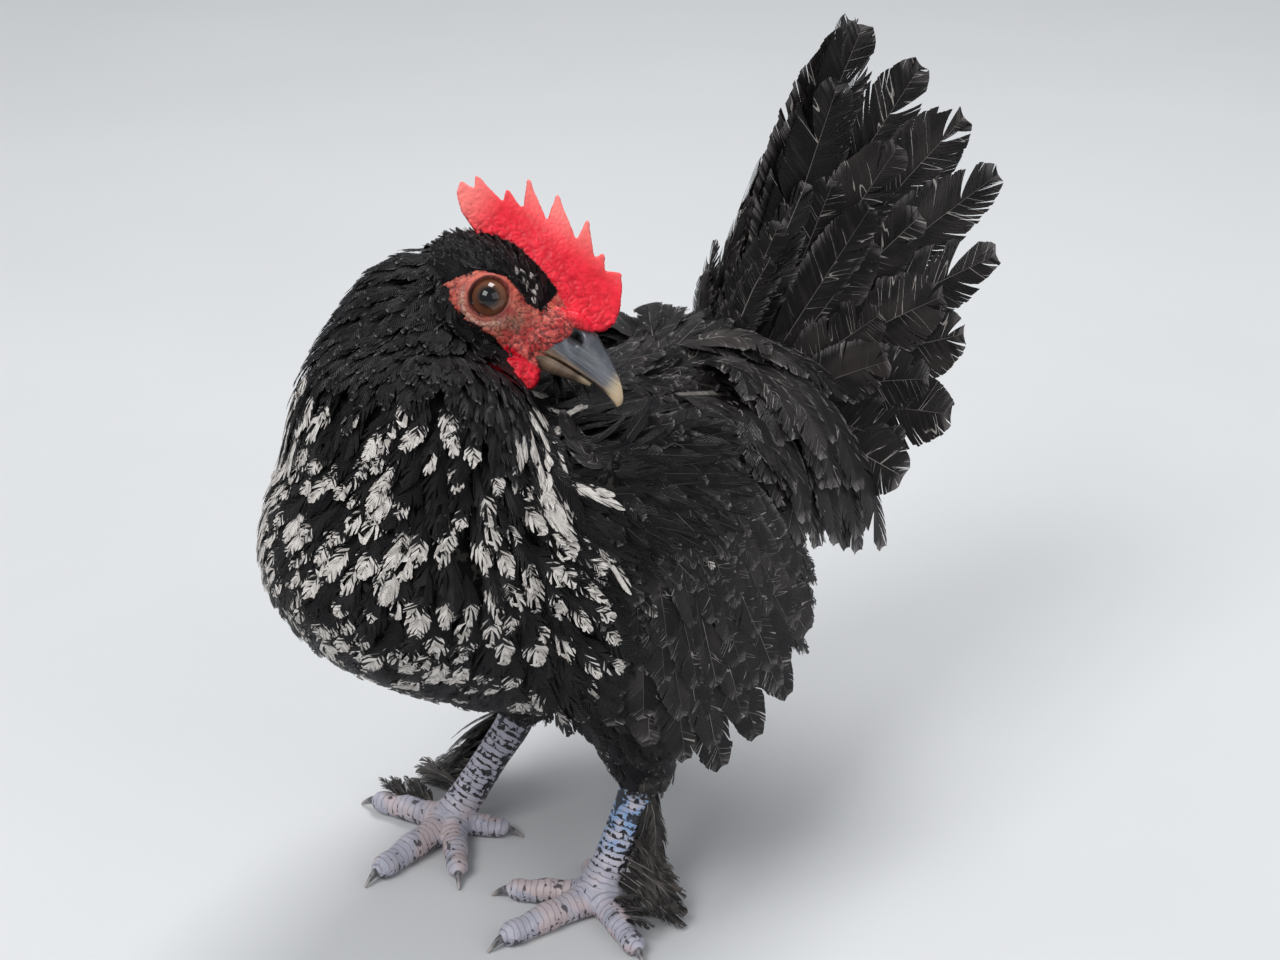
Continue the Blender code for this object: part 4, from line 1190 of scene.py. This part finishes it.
def eye_paint():
    """A dark brown iris round a black pupil, darker again at its rim, under a wet coat."""
    p = Paint("eye_brown", 0.06, Coat_Weight=0.4, Coat_Roughness=0.02, Specular_IOR_Level=0.3)
    ring = p.attribute("ring")
    fleck = p.noise(p.place(), 1500.0, 3.0)
    iris = p.mix(p.step(p.plus(ring, p.scaled(fleck, 0.16, -0.08)), 0.28, 0.5),
                 (0.03, 0.013, 0.008), (0.13, 0.05, 0.025))
    iris = p.mix(p.step(ring, 0.66, 0.8), iris, (0.02, 0.011, 0.008))
    p.colour(p.mix(p.step(ring, 0.3, 0.27), iris, (0.0015, 0.0015, 0.002)))
    p.bump(fleck, 0.05, 0.0001)
    return p.material


def claw_paint():
    """Dark horn that turns paler to the tip."""
    p = Paint("claw_slate", 0.35, Coat_Weight=0.15)
    streak = p.noise(p.place(), 700.0, 3.0)
    horn = p.mix(p.step(streak, 0.35, 0.65), (0.05, 0.05, 0.058), (0.2, 0.19, 0.2))
    p.colour(p.mix(p.step(p.attribute("ahead"), 0.6, 1.0), horn, (0.4, 0.36, 0.34)))
    p.bump(streak, 0.25, 0.0002)
    return p.material


def floor_paint():
    p = Paint("pale_floor", 0.85)
    place = p.place()
    p.colour(p.mix(p.noise(place, 6.0, 4.0), (0.6, 0.61, 0.62), (0.66, 0.67, 0.68)))
    p.bump(p.noise(place, 400.0, 4.0), 0.08, 0.0005)
    return p.material


LOOKS = {
    "spangled": feather_paint("spangled_feathers", BLACK, SOOT, 26, (0.03, 0.027, 0.025), 0.3),
    "streaked": feather_paint("streaked_feathers", BLACK, SOOT, 22, (0.5, 0.47, 0.44), 0.2,
                              streaked=True),
    "black": feather_paint("black_feathers", BLACK, SOOT, 18, SOOT, rim=0.6, sheen=0.24),
    "flight": feather_paint("flight_feathers", INK, BROWN, 130, (0.17, 0.15, 0.14), 0.75, 0.9,
                            0.55, advance=0.12, bright=1.0, sheen=0.22),
    "plume": feather_paint("plume_feathers", INK, BROWN, 60, (0.22, 0.2, 0.185), 0.7, 0.7, 0.8,
                           advance=0.18, bright=0.7, sheen=0.34),
    "hairy": feather_paint("hairy_feathers", (0.01, 0.009, 0.009), (0.12, 0.105, 0.095), 30,
                           (0.34, 0.31, 0.29), 0.8, 0.0, 0.6, advance=0.3, bright=0.8, sheen=0.4),
    "skin": skin_paint(),
    "legs": leg_paint(),
    "beak": beak_paint(),
    "eye": eye_paint(),
    "claw": claw_paint(),
}

EYE_RIGHT_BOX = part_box("eye_right")
SHIFT = (EYE_RIGHT_BOX[0] + EYE_RIGHT_BOX[1]) / 2 - head_point(0, 0, EYE_OUT) * 0.001
TO_PART = Matrix.Translation(SHIFT) @ Matrix.Scale(0.001, 4)


def placed(name, mesh, look):
    """Sets a finished mesh on the solids and gives it its look."""
    mesh.transform(TO_PART)
    mesh.materials.clear()
    mesh.materials.append(LOOKS[look])
    made = new_object(name, mesh)
    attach(made, "root")
    return made


def solid_piece(name, bm, look):
    """A smooth piece that takes the place of the solid of its name."""
    mesh = mesh_from(bm, name)
    mesh.polygons.foreach_set("use_smooth", np.ones(len(mesh.polygons), bool))
    made = placed(name, mesh, look)
    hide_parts(name)


# Pieces

def make_skin():
    """One closed skin over body, head and legs, with scales on it below the thighs."""
    def body(bm):
        fill_body(bm, SUNK)
        fill_wing_cores(bm)

    head = moulded(fill_head, *HEAD_MOULD)
    wrinkle_head(head)
    legs = moulded(fill_legs, *LEG_MOULD)
    scale_legs(legs)
    others = [new_object("head", mesh_from(head)), new_object("legs", mesh_from(legs))]
    torso = new_object("torso", mesh_from(moulded(body, *BODY_MOULD)))
    for obj in [torso] + others:
        for key in ("scute", "front", "crease"):
            if not obj.data.attributes.get(key):
                obj.data.attributes.new(key, "FLOAT", "POINT")
    for obj in others:
        bpy.context.scene.collection.objects.unlink(obj)
    mesh = union(torso, others)
    paint_skin(mesh)
    points = coordinates(mesh)
    mesh.name = "skin"
    skin = placed("skin", mesh, "skin")
    mesh.materials.append(LOOKS["legs"])
    centres = np.array([points[list(face.vertices)].mean(0) for face in mesh.polygons])
    ragged = np.array([noise.noise(Vector(spot) * 0.5) for spot in centres]) * 3
    scaled = centres[:, 2] + ragged < SCALED_BELOW
    mesh.polygons.foreach_set("material_index", scaled.astype(np.int32))
    mesh.polygons.foreach_set("use_smooth", np.ones(len(mesh.polygons), bool))
    names = ["torso", "neck", "head", "comb"]
    for word in SIDES.values():
        names += [f"thigh_{word}", f"shank_{word}", f"foot_{word}", f"wattle_{word}"]
        names += [f"toe_{word}_{k}" for k in range(1, len(TOES) + 1)]
    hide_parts(*names)


def horn_piece(name, stations, upper):
    """One half of the beak, with its nostrils and the places of its growth lines."""
    bm = bmesh.new()
    head_loft(bm, stations, 40, 8, square=-1 if upper else 1)
    bmesh.ops.recalc_face_normals(bm, faces=bm.faces)
    ahead, edge, hole = [bm.verts.layers.float.new(key) for key in ("ahead", "edge", "hole")]
    first, last = stations[0][0], stations[-1][0]
    for vert in bm.verts:
        forward, up, side = in_head(vert.co)
        vert[ahead] = (forward - first) / (last - first)
        vert[edge] = clamped((up + 1) / 6) if upper else 0.12
        away = math.hypot((forward - NOSTRIL.x) / 2.2, (up - NOSTRIL.y) / 1.4)
        if upper and abs(side) > 1:
            dent, rim = math.exp(-away ** 4), bell(away - 1.35, 0.3)
            vert[hole] = float(rise_and_fall(away, 1.05, 0.75))
            vert.co += HEAD_SIDE * (-math.copysign(1, side)) * (dent * 2.2 - rim * 0.4)
    solid_piece(name, bm, "beak")


def make_eye(side):
    """A ball whose middle bulges a little and whose ring runs from pupil to rim."""
    bm = bmesh.new()
    centre = head_point(EYEBALL.x, EYEBALL.y, -side * EYEBALL.z)
    ball(bm, centre, (EYEBALL_RADIUS,) * 3, head_turn(), 48, 32)
    ring = bm.verts.layers.float.new("ring")
    gaze = HEAD_SIDE * -side
    for vert in bm.verts:
        facing = (vert.co - centre).normalized().dot(gaze)
        vert[ring] = math.acos(max(-1, min(1, facing))) / (math.pi / 2)
        if facing > 0.55:
            vert.co += gaze * (0.35 * ((facing - 0.55) / 0.45) ** 2)
    solid_piece(f"eye_{SIDES[side]}", bm, "eye")


def make_claw(side, number, toe):
    length, turn, _, thin = toe
    ahead = mirrored(toe_direction(turn), side)
    start = pad_centre(side) + ahead * (length - CLAW_SUNK)
    start.z = thin
    stations = []
    for share in (0, 0.2, 0.4, 0.6, 0.8, 1):
        spot = start + ahead * (CLAW_LENGTH * share)
        spot.z = start.z - (start.z - CLAW_TIP_RADIUS) * share ** CLAW_FALL
        spot.z += CLAW_ARCH * math.sin(math.pi * share)
        radius = CLAW_RADIUS * (1 - share) + CLAW_TIP_RADIUS * share
        stations.append((*spot, radius * 0.8, radius, radius))
    bm = bmesh.new()
    loft(bm, stations, 20, 4, UP)
    bmesh.ops.recalc_face_normals(bm, faces=bm.faces)
    layer = bm.verts.layers.float.new("ahead")
    for vert in bm.verts:
        vert.co.z = max(0.02, vert.co.z)
        vert[layer] = (vert.co - start).dot(ahead) / CLAW_LENGTH
    solid_piece(f"claw_{SIDES[side]}_{number}", bm, "claw")


def vanes(count, seed, **shape):
    return [Vane(seed=seed + k, **shape) for k in range(count)]


def near_wing(points):
    """The part of the body that a folded wing covers."""
    x, y, z = points.T
    return (np.abs(x) > 24) & (((y - 14) / 26) ** 2 + ((z - 97) / 34) ** 2 < 1)


def on_cape(points):
    """Where the long streaked hackles grow: the sides of the neck's foot."""
    x, y, z = points.T
    left = (x > 12) & (y > -24) & (z > 120)
    right = (x < -9) & (z > 118)
    return (left | right) & (z < 150) & (y < 20)


def on_shoulder(points):
    """The slope from the back over the top of a folded wing."""
    x, y, z = points.T
    front = np.maximum(-16, 6 - 1.3 * np.maximum(0, np.abs(x) - 22))
    return (np.abs(x) > 17) & (z > 115) & (y > front) & (y < 48)


def make_body_coat(skin, outer):
    """The body's coat, rooted on the skin and laid out to the outer surface, by regions."""
    def neck(points):
        x, y, z = points.T
        forward, up, _ = head_frame_of(points)
        foot = 139 + 9 * rise_and_fall(y, -16, -6) * (x > 0)
        high = (z > 155) | ((z > foot) & (y > -30))
        return high & (y < 4) & (np.hypot(forward, up) > 6.5)

    def breast(points):
        _, y, z = points.T
        return ((z <= 157) & (z > 50) & (y < 20) & ~neck(points) & ~near_wing(points)
                & ~on_cape(points))

    def back(points):
        _, y, z = points.T
        return ((y > 2) & (y < 76) & (z > 64) & ((y > 16) | (z > 120)) & ~near_wing(points)
                & ~on_shoulder(points))

    def legs(points):
        return (points[:, 2] <= 64) & (points[:, 2] > 30)

    def by_wing(spot):
        """Feathers in front of a wing stand out far enough to lie over its edge."""
        near = rise_and_fall(abs(spot.x), 24, 33) * rise_and_fall(spot.y, -34, -18)
        return 0.9 + 2.6 * float(near) * float(rise_and_fall(spot.z, 55, 70))

    def over_shoulder(spot):
        near = rise_and_fall(abs(spot.x), 20, 34) * rise_and_fall(spot.y, -26, -12)
        return 0.9 + 2.4 * float(near)

    def over_rump(spot):
        return 1.2 + 1.8 * float(rise_and_fall(spot.y, 25, 55))

    def slanted(spot):
        """Back and down over the wing, more steeply lower down."""
        steep = float(rise_and_fall(spot.z, 140, 118))
        return Vector((math.copysign(0.3, spot.x), 0.85 - 0.3 * steep, -0.55 - 0.3 * steep))

    draw = random.Random(3)

    def coat(name, look, roots, sizes, pale, shape, spread=0.28, lie=lie_of_coat):
        plumes = Plumes()
        cover(plumes, roots, outer, *sizes, draw, lie, pale, spread)
        coat_piece(name, plumes, vanes(8, len(roots), steps=2, **shape), look)

    coat("coat_breast", "spangled", skin.scatter(3.1, breast, 2),
         (lambda p: 13.5 + 0.03 * (140 - p.z), lambda p: 5.8 + 0.02 * (140 - p.z), by_wing),
         white_tip, dict(strips=13, ragged=0.62, split=0.09, gap=0.6, shaft=0.03, fray=0.4,
                         advance=0.36, clump=(1, 2), pointed=0.6))
    coat("coat_neck", "black", skin.scatter(1.75, neck, 1), (10.0, 4.0, 0.8),
         None, dict(strips=7, ragged=0.4, split=0.06, gap=0.55, shaft=0, advance=0.32))
    coat("coat_shoulders", "plume", skin.scatter(2.9, on_shoulder, 7),
         (24.0, 5.6, 2.4), few_flecks, dict(strips=10, ragged=0.2, split=0.03, gap=0.3, shaft=0.05,
                                            pointed=0.6, fray=0.15, advance=0.2), 0.16, slanted)
    coat("coat_cape", "streaked", skin.scatter(2.1, on_cape, 6),
         (20.0, 4.2, over_shoulder), white_streak,
         dict(strips=9, ragged=0.3, split=0.04, gap=0.4, shaft=0.05, pointed=0.8, advance=0.3,
              fray=0.25))
    coat("coat_back", "plume", skin.scatter(2.8, back, 4),
         (20.0, 7.5, over_rump), few_flecks,
         dict(strips=10, ragged=0.25, split=0.04, gap=0.35, shaft=0.045, pointed=0.6, fray=0.2))
    coat("coat_thighs", "black", skin.scatter(2.3, legs, 5), (11.0, 5.5, 0.8),
         None, dict(strips=8, ragged=0.35, split=0.06, gap=0.6, shaft=0, advance=0.3))


def make_head_coat(head):
    """The short feathers of the head, with a few white flecks over the brow."""
    def feathered(points):
        forward, up, side = head_frame_of(points)
        share = skull_share(forward, up, side)
        return ((share < 1.06) & ~bare_share(forward, up, side) & (forward < 12.6)
                & (eye_reach(forward, up) > 5.4))

    def lie(point):
        _, up, _ = in_head(point)
        return -HEAD_FORWARD + HEAD_UP * (0.25 * up / 10)

    def flecks(point, draw):
        forward, up, _ = in_head(point)
        near = 0 < forward < 10 and abs(up - 11.6 + 0.42 * forward) < 1.9
        return draw.uniform(0.5, 0.9) if near and draw.random() < 0.45 else 0.0

    draw = random.Random(8)
    plumes = Plumes()
    cover(plumes, head.scatter(0.95, feathered, 9), head, 4.8, 1.8, 1.3, draw, lie, flecks, 0.5)
    coat_piece("coat_head", plumes,
               vanes(5, 50, strips=5, steps=1, ragged=0.4, split=0.06, loose=0.1, gap=0.5,
                     shaft=0, advance=0.35), "black")


# Wing rows from the longest feathers up to the shoulder: how far down the core a row
# roots and how wide, how far it stands off, its tips from front to rear, and width.
WING_ROWS = [
    (7.0, 20.0, -1.6, [(42, -9, 67), (47, 2, 54), (50, 16, 45), (50, 33, 44), (49, 47, 51),
                       (47, 55.5, 64), (45, 56, 80)], 15.0),
    (-6.0, 18.0, 1.0, [(42, -11, 86), (47, 4, 74), (49, 21, 70), (48, 38, 77), (45, 48, 92)], 12.0),
    (-14.0, 15.0, 2.2, [(41, -11, 105), (45, 5, 97), (47, 22, 94), (44, 40, 103)], 8.5),
    (-21.0, 10.0, 2.2, [(40, -8, 124), (44, 9, 114), (44, 30, 114)], 7.0),
    (-25.0, 7.0, 1.6, [(39, -6, 132), (42, 9, 125), (42, 26, 126)], 6.0),
]
WING_TIERS = [(0.0, 8), (0.3, 9), (0.55, 9), (1.0, 10), (1.35, 11), (1.75, 12), (2.1, 12),
              (2.5, 12), (2.9, 11), (3.3, 10), (3.7, 9), (4.0, 8)]
REAR_FRINGE = [(38, 50, 103), (42, 55, 92), (43, 60, 80), (43, 60, 70), (43, 57, 60)]
TERTIALS = ([(20, 34, 131), (19, 48, 127)], [(43, 47, 113), (41, 58, 100)], 22, (5, 1, 7),
            (0.7, 0.2, 0.8), 9.0, 2.5)


def strayed(draw, reach):
    return Vector([draw.uniform(-reach, reach) for _ in range(3)])


def make_wing(side):
    """A folded wing in tiers between the rows, and the loose plumes behind it."""
    turn = wing_turn()
    down, back = turn @ Vector((0, 0, -1)), turn @ Vector((0, 1, 0))
    draw = random.Random(60 + side)
    plumes = Plumes()
    last = len(WING_ROWS) - 1
    for number, (level, count) in enumerate(WING_TIERS):
        first = min(int(level), last - 1)
        low_row, high_row, mix = WING_ROWS[first], WING_ROWS[first + 1], level - first
        low, spread, off = [low_row[k] * (1 - mix) + high_row[k] * mix for k in (0, 1, 2)]
        width = low_row[4] * (1 - mix) + high_row[4] * mix
        for k in range(count):
            share = (k + (0.5 if number % 2 else 0.25)) / (count - 0.25) + draw.uniform(-0.03, 0.03)
            share = clamped(share)
            root = WING_CORE + down * low + back * (spread * (2 * share - 1)) + OUT * off
            tip = along_points(low_row[3], share).lerp(along_points(high_row[3], share), mix)
            tip = tip + OUT * (off + draw.uniform(-0.3, 0.5))
            tip += Vector((0, draw.uniform(-1.6, 1.6), draw.uniform(-3.0, 3.0)))
            bow = Vector((1.0 + 2.2 * min(1, 3 * share), 0, 0)) + back * draw.uniform(-1, 1.5)
            ahead = -0.7 * max(0.0, 1 - 3 * share)
            facing = OUT + Vector((0, ahead + draw.uniform(-0.15, 0.15), draw.uniform(-0.1, 0.15)))
            plumes.grow(root, (root + tip) / 2 + bow, tip, facing,
                        width * draw.uniform(0.9, 1.15), draw, side)
    wing = coat_piece(f"wing_{SIDES[side]}_feathers", plumes,
                      vanes(9, 70, strips=40, steps=3, ragged=0.12, split=0.015, gap=0.12,
                            shaft=0.03, clump=(4, 12), advance=0.13), "flight")
    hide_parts(f"wing_{SIDES[side]}")

    plumes = Plumes()
    for k in range(REAR_PLUMES):
        tip = along_points(REAR_FRINGE, k / (REAR_PLUMES - 1)) + strayed(draw, 1.6)
        root = tip + Vector((-1.5, -13, 13))
        middle = (root + tip) / 2 + Vector((1.5, 1.5, 1.5))
        plumes.grow(root, middle, tip, (1, 0.3, 0.2), draw.uniform(4, 6.5), draw, side)
    fan(plumes, [TERTIALS], draw, sides=(side,))
    coat_piece(f"flank_{SIDES[side]}_plumes", plumes,
               vanes(6, 80, strips=16, steps=2, ragged=0.5, split=0.06, gap=0.75, shaft=0.04,
                     clump=(1, 2), advance=0.3, fray=0.3), "plume")


# Tail groups of the left half: roots and tips from first to last, count, bow, facing,
# width, and how far the tips stray.
TAIL_FANS = [
    ([(1, 77, 123), (9, 80, 107)],
     [(3, 120, 202), (9, 137, 186), (16, 151, 169), (24, 154, 149), (31, 134, 127),
      (38, 119, 107), (43, 96, 96)], 8, (0, -2, 4), (1, -0.2, 0.25), 25.0, 1.5),
    ([(4, 77, 123), (11, 80, 109)],
     [(5, 107, 188), (15, 124, 165), (24, 128, 146), (33, 114, 120), (38, 98, 100)], 6,
     (2, -2, 4), (1, -0.25, 0.3), 22.0, 3.0),
    ([(8, 77, 124), (13, 79, 113)], [(11, 98, 168), (22, 108, 148), (32, 102, 124)], 5,
     (3, -2, 3), (1, -0.3, 0.4), 17.0, 3.0),
]
TAIL_COVERTS = [
    ([(2, 64, 127), (6, 74, 126)], [(5, 70, 140), (10, 78, 152), (7, 90, 165)], 10,
     (0, -3, 2), (0.5, -1, 0.4), 11.0, 4.0),
    ([(5, 76, 106), (10, 74, 106)], [(10, 92, 84), (22, 88, 74), (30, 84, 78)], 7,
     (2, 5, 0), (0.6, 1, 0.2), 14.0, 3.0),
]
SADDLE_PLUMES = [
    ([(15, 46, 125), (17, 73, 122)],
     [(42, 43, 110), (43, 49, 100), (43, 56, 92), (42, 66, 88), (41, 78, 83), (41, 89, 80)], 21,
     (6, 5, 13), (0.9, 0.2, 0.6), 12.5, 3.0),
    ([(13, 52, 128), (14, 71, 126)], [(36, 52, 118), (40, 62, 108), (41, 74, 96)], 12,
     (5, 4, 11), (0.9, 0.1, 0.7), 10.5, 3.0),
    ([(10, 50, 131), (10, 68, 130)], [(30, 50, 126), (36, 60, 117), (37, 74, 106)], 12,
     (5, 3, 9), (0.8, 0.1, 0.8), 9.0, 3.0),
    ([(4, 50, 134), (4, 66, 133)], [(18, 62, 131), (24, 74, 124), (28, 84, 114)], 10,
     (4, 3, 6), (0.5, 0.1, 0.9), 8.0, 3.0),
]


def fan(plumes, groups, draw, sides=SIDES):
    """Adds each group's feathers, spread evenly from its first root and tip to its last."""
    for side in sides:
        for roots, tips, count, bow, facing, width, stray in groups:
            for k in range(count):
                share = k / (count - 1)
                root = Vector(roots[0]).lerp(Vector(roots[1]), share)
                tip = along_points(tips, share)
                tip += strayed(draw, 1) * stray
                middle = (root + tip) / 2 + Vector(bow)
                plumes.grow(root, middle, tip, facing, width * draw.uniform(0.88, 1.1), draw, side)


def make_tail():
    """The raised tail, its coverts and the plumes that hang from the saddle."""
    draw = random.Random(90)
    for name, groups, look, count, seed, shape in (
            ("tail_feathers", TAIL_FANS, "flight", 9, 100,
             dict(strips=70, steps=4, ragged=0.09, split=0.016, gap=0.12, shaft=0.022,
                  clump=(3, 12), advance=0.16, fray=0.24)),
            ("tail_coverts", TAIL_COVERTS, "flight", 7, 120,
             dict(strips=30, steps=3, ragged=0.25, split=0.04, gap=0.45, shaft=0.04,
                  clump=(1, 4), advance=0.2, fray=0.3)),
            ("saddle_plumes", SADDLE_PLUMES, "plume", 8, 140,
             dict(strips=30, steps=3, ragged=0.15, split=0.025, gap=0.3, shaft=0.035,
                  clump=(2, 6), advance=0.12, pointed=0.42, fray=0.2, fullest=0.66))):
        plumes = Plumes()
        fan(plumes, groups, draw)
        made = coat_piece(name, plumes, vanes(count, seed, **shape), look)
        if groups is TAIL_FANS:
            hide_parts("tail")


LEG_PLUMES = [(0.1, (6.5, 10, 15)), (0.35, (10, 11, 8)), (0.6, (15, 11, 4)), (0.85, (22, 8, 2))]


def make_leg_plumes():
    """The fringe of feathers down the outer side of each shank and over the outer toe."""
    draw = random.Random(160)
    plumes = Plumes()
    for side in SIDES:
        pad = Vector((PADS[side][0], PADS[side][1], PAD_HEIGHT))
        hock = Vector(HOCKS[side])
        spread = 1.0 if side == LEFT else 1.3
        for k in range(LEG_FRINGE):
            level = k / (LEG_FRINGE - 1) * (len(LEG_PLUMES) - 1)
            spot, *reach = between([(s, *r) for s, r in LEG_PLUMES], level)
            root = hock.lerp(pad, spot) + Vector((3.2, 1.5 + draw.uniform(-2, 2), 0))
            tip = Vector((pad.x + reach[0] * spread, pad.y + reach[1], reach[2] * spread))
            tip += strayed(draw, 3)
            tip.x = min(LEG_PLUME_LIMIT, tip.x)
            tip.z = max(1.0, tip.z)
            middle = (root + tip) / 2 + Vector((2.5, 0, 2.5))
            plumes.grow(root, middle, tip, (0.8, -0.4, 0.8), draw.uniform(3.5, 6), draw, side)
        base, way = toe_line(side, TOES[2])
        for k in range(TOE_PLUMES):
            root = base + way * draw.uniform(0.05, 0.75) + Vector((0, draw.uniform(0, 2.5), 2.2))
            tip = root + way * 0.4 + Vector((draw.uniform(-1, 1), draw.uniform(2, 8),
                                             draw.uniform(-0.5, 3)))
            middle = (root + tip) / 2 + Vector((0, 0, 2.0))
            plumes.grow(root, middle, tip, (0, 0.2, 1), draw.uniform(3, 5), draw)
        hock = mirrored(hock, side)
        for k in range(HOCK_PLUMES):
            away = Vector((math.cos(k * 2.4), math.sin(k * 2.4), 0))
            root = hock + away * 5.5 + Vector((0, 0, 10))
            tip = hock + away * draw.uniform(6, 7.5) + Vector((0, 0, draw.uniform(-5, 2)))
            plumes.grow(root, (root + tip) / 2 + away * 2, tip, away, draw.uniform(3.5, 5), draw)
    coat_piece("leg_feathers", plumes,
               vanes(7, 170, strips=18, steps=3, ragged=0.5, split=0.06, gap=0.95, shaft=0.05,
                     clump=(1, 2), advance=0.32, fray=0.35), "hairy")


def look_along(obj, place, right, up, back):
    obj.matrix_world = Matrix.Translation(place) @ Matrix((right, up, back)).transposed().to_4x4()


def make_studio():
    """The pale floor, the camera at the photo's angle and soft lights."""
    scene = bpy.context.scene
    floor_mesh = bmesh.new()
    bmesh.ops.create_grid(floor_mesh, x_segments=4, y_segments=4, size=4)
    floor = new_object("floor", mesh_from(floor_mesh, "floor"))
    floor.data.materials.append(floor_paint())

    back = CAMERA_BACK.normalized()
    right = UP.cross(back).normalized()
    camera = new_object("camera", bpy.data.cameras.new("camera"))
    camera.data.lens = CAMERA_LENS
    camera.data.sensor_width = SENSOR_WIDTH
    camera.data.clip_start = 0.01
    look_along(camera, CAMERA_PLACE + SHIFT, right, back.cross(right), back)
    scene.camera = camera

    world = bpy.data.worlds.new("studio")
    world.use_nodes = True
    colour, power = world.node_tree.nodes["Background"].inputs[:2]
    colour.default_value = SKY
    power.default_value = SKY_POWER
    scene.world = world
    for name, (place, size, power) in LIGHTS.items():
        light = new_object(name, bpy.data.lights.new(name, "AREA"))
        light.data.size = size
        light.data.energy = power
        aim = (Vector(place) - Vector((0, 0, 0.1))).normalized()
        side = UP.cross(aim).normalized()
        look_along(light, Vector(place), side, aim.cross(side), aim)
    scene.view_settings.view_transform = "Standard"


def main():
    def covered(sunk):
        def fill(bm):
            fill_body(bm, sunk)
            fill_wing_cores(bm)

        return Surface(moulded(fill, *BODY_MOULD))

    outer, inner = covered(0.0), covered(SUNK)
    head = moulded(lambda bm: head_loft(bm, HEAD, 40, 6, 0.3), *SKULL_MOULD)
    make_skin()
    horn_piece("beak_upper", UPPER_BEAK, True)
    horn_piece("beak_lower", LOWER_BEAK, False)
    for side in SIDES:
        make_eye(side)
        for number, toe in enumerate(TOES, start=1):
            make_claw(side, number, toe)
        make_wing(side)
    make_body_coat(inner, outer)
    make_head_coat(Surface(head))
    make_tail()
    make_leg_plumes()
    make_studio()


main()
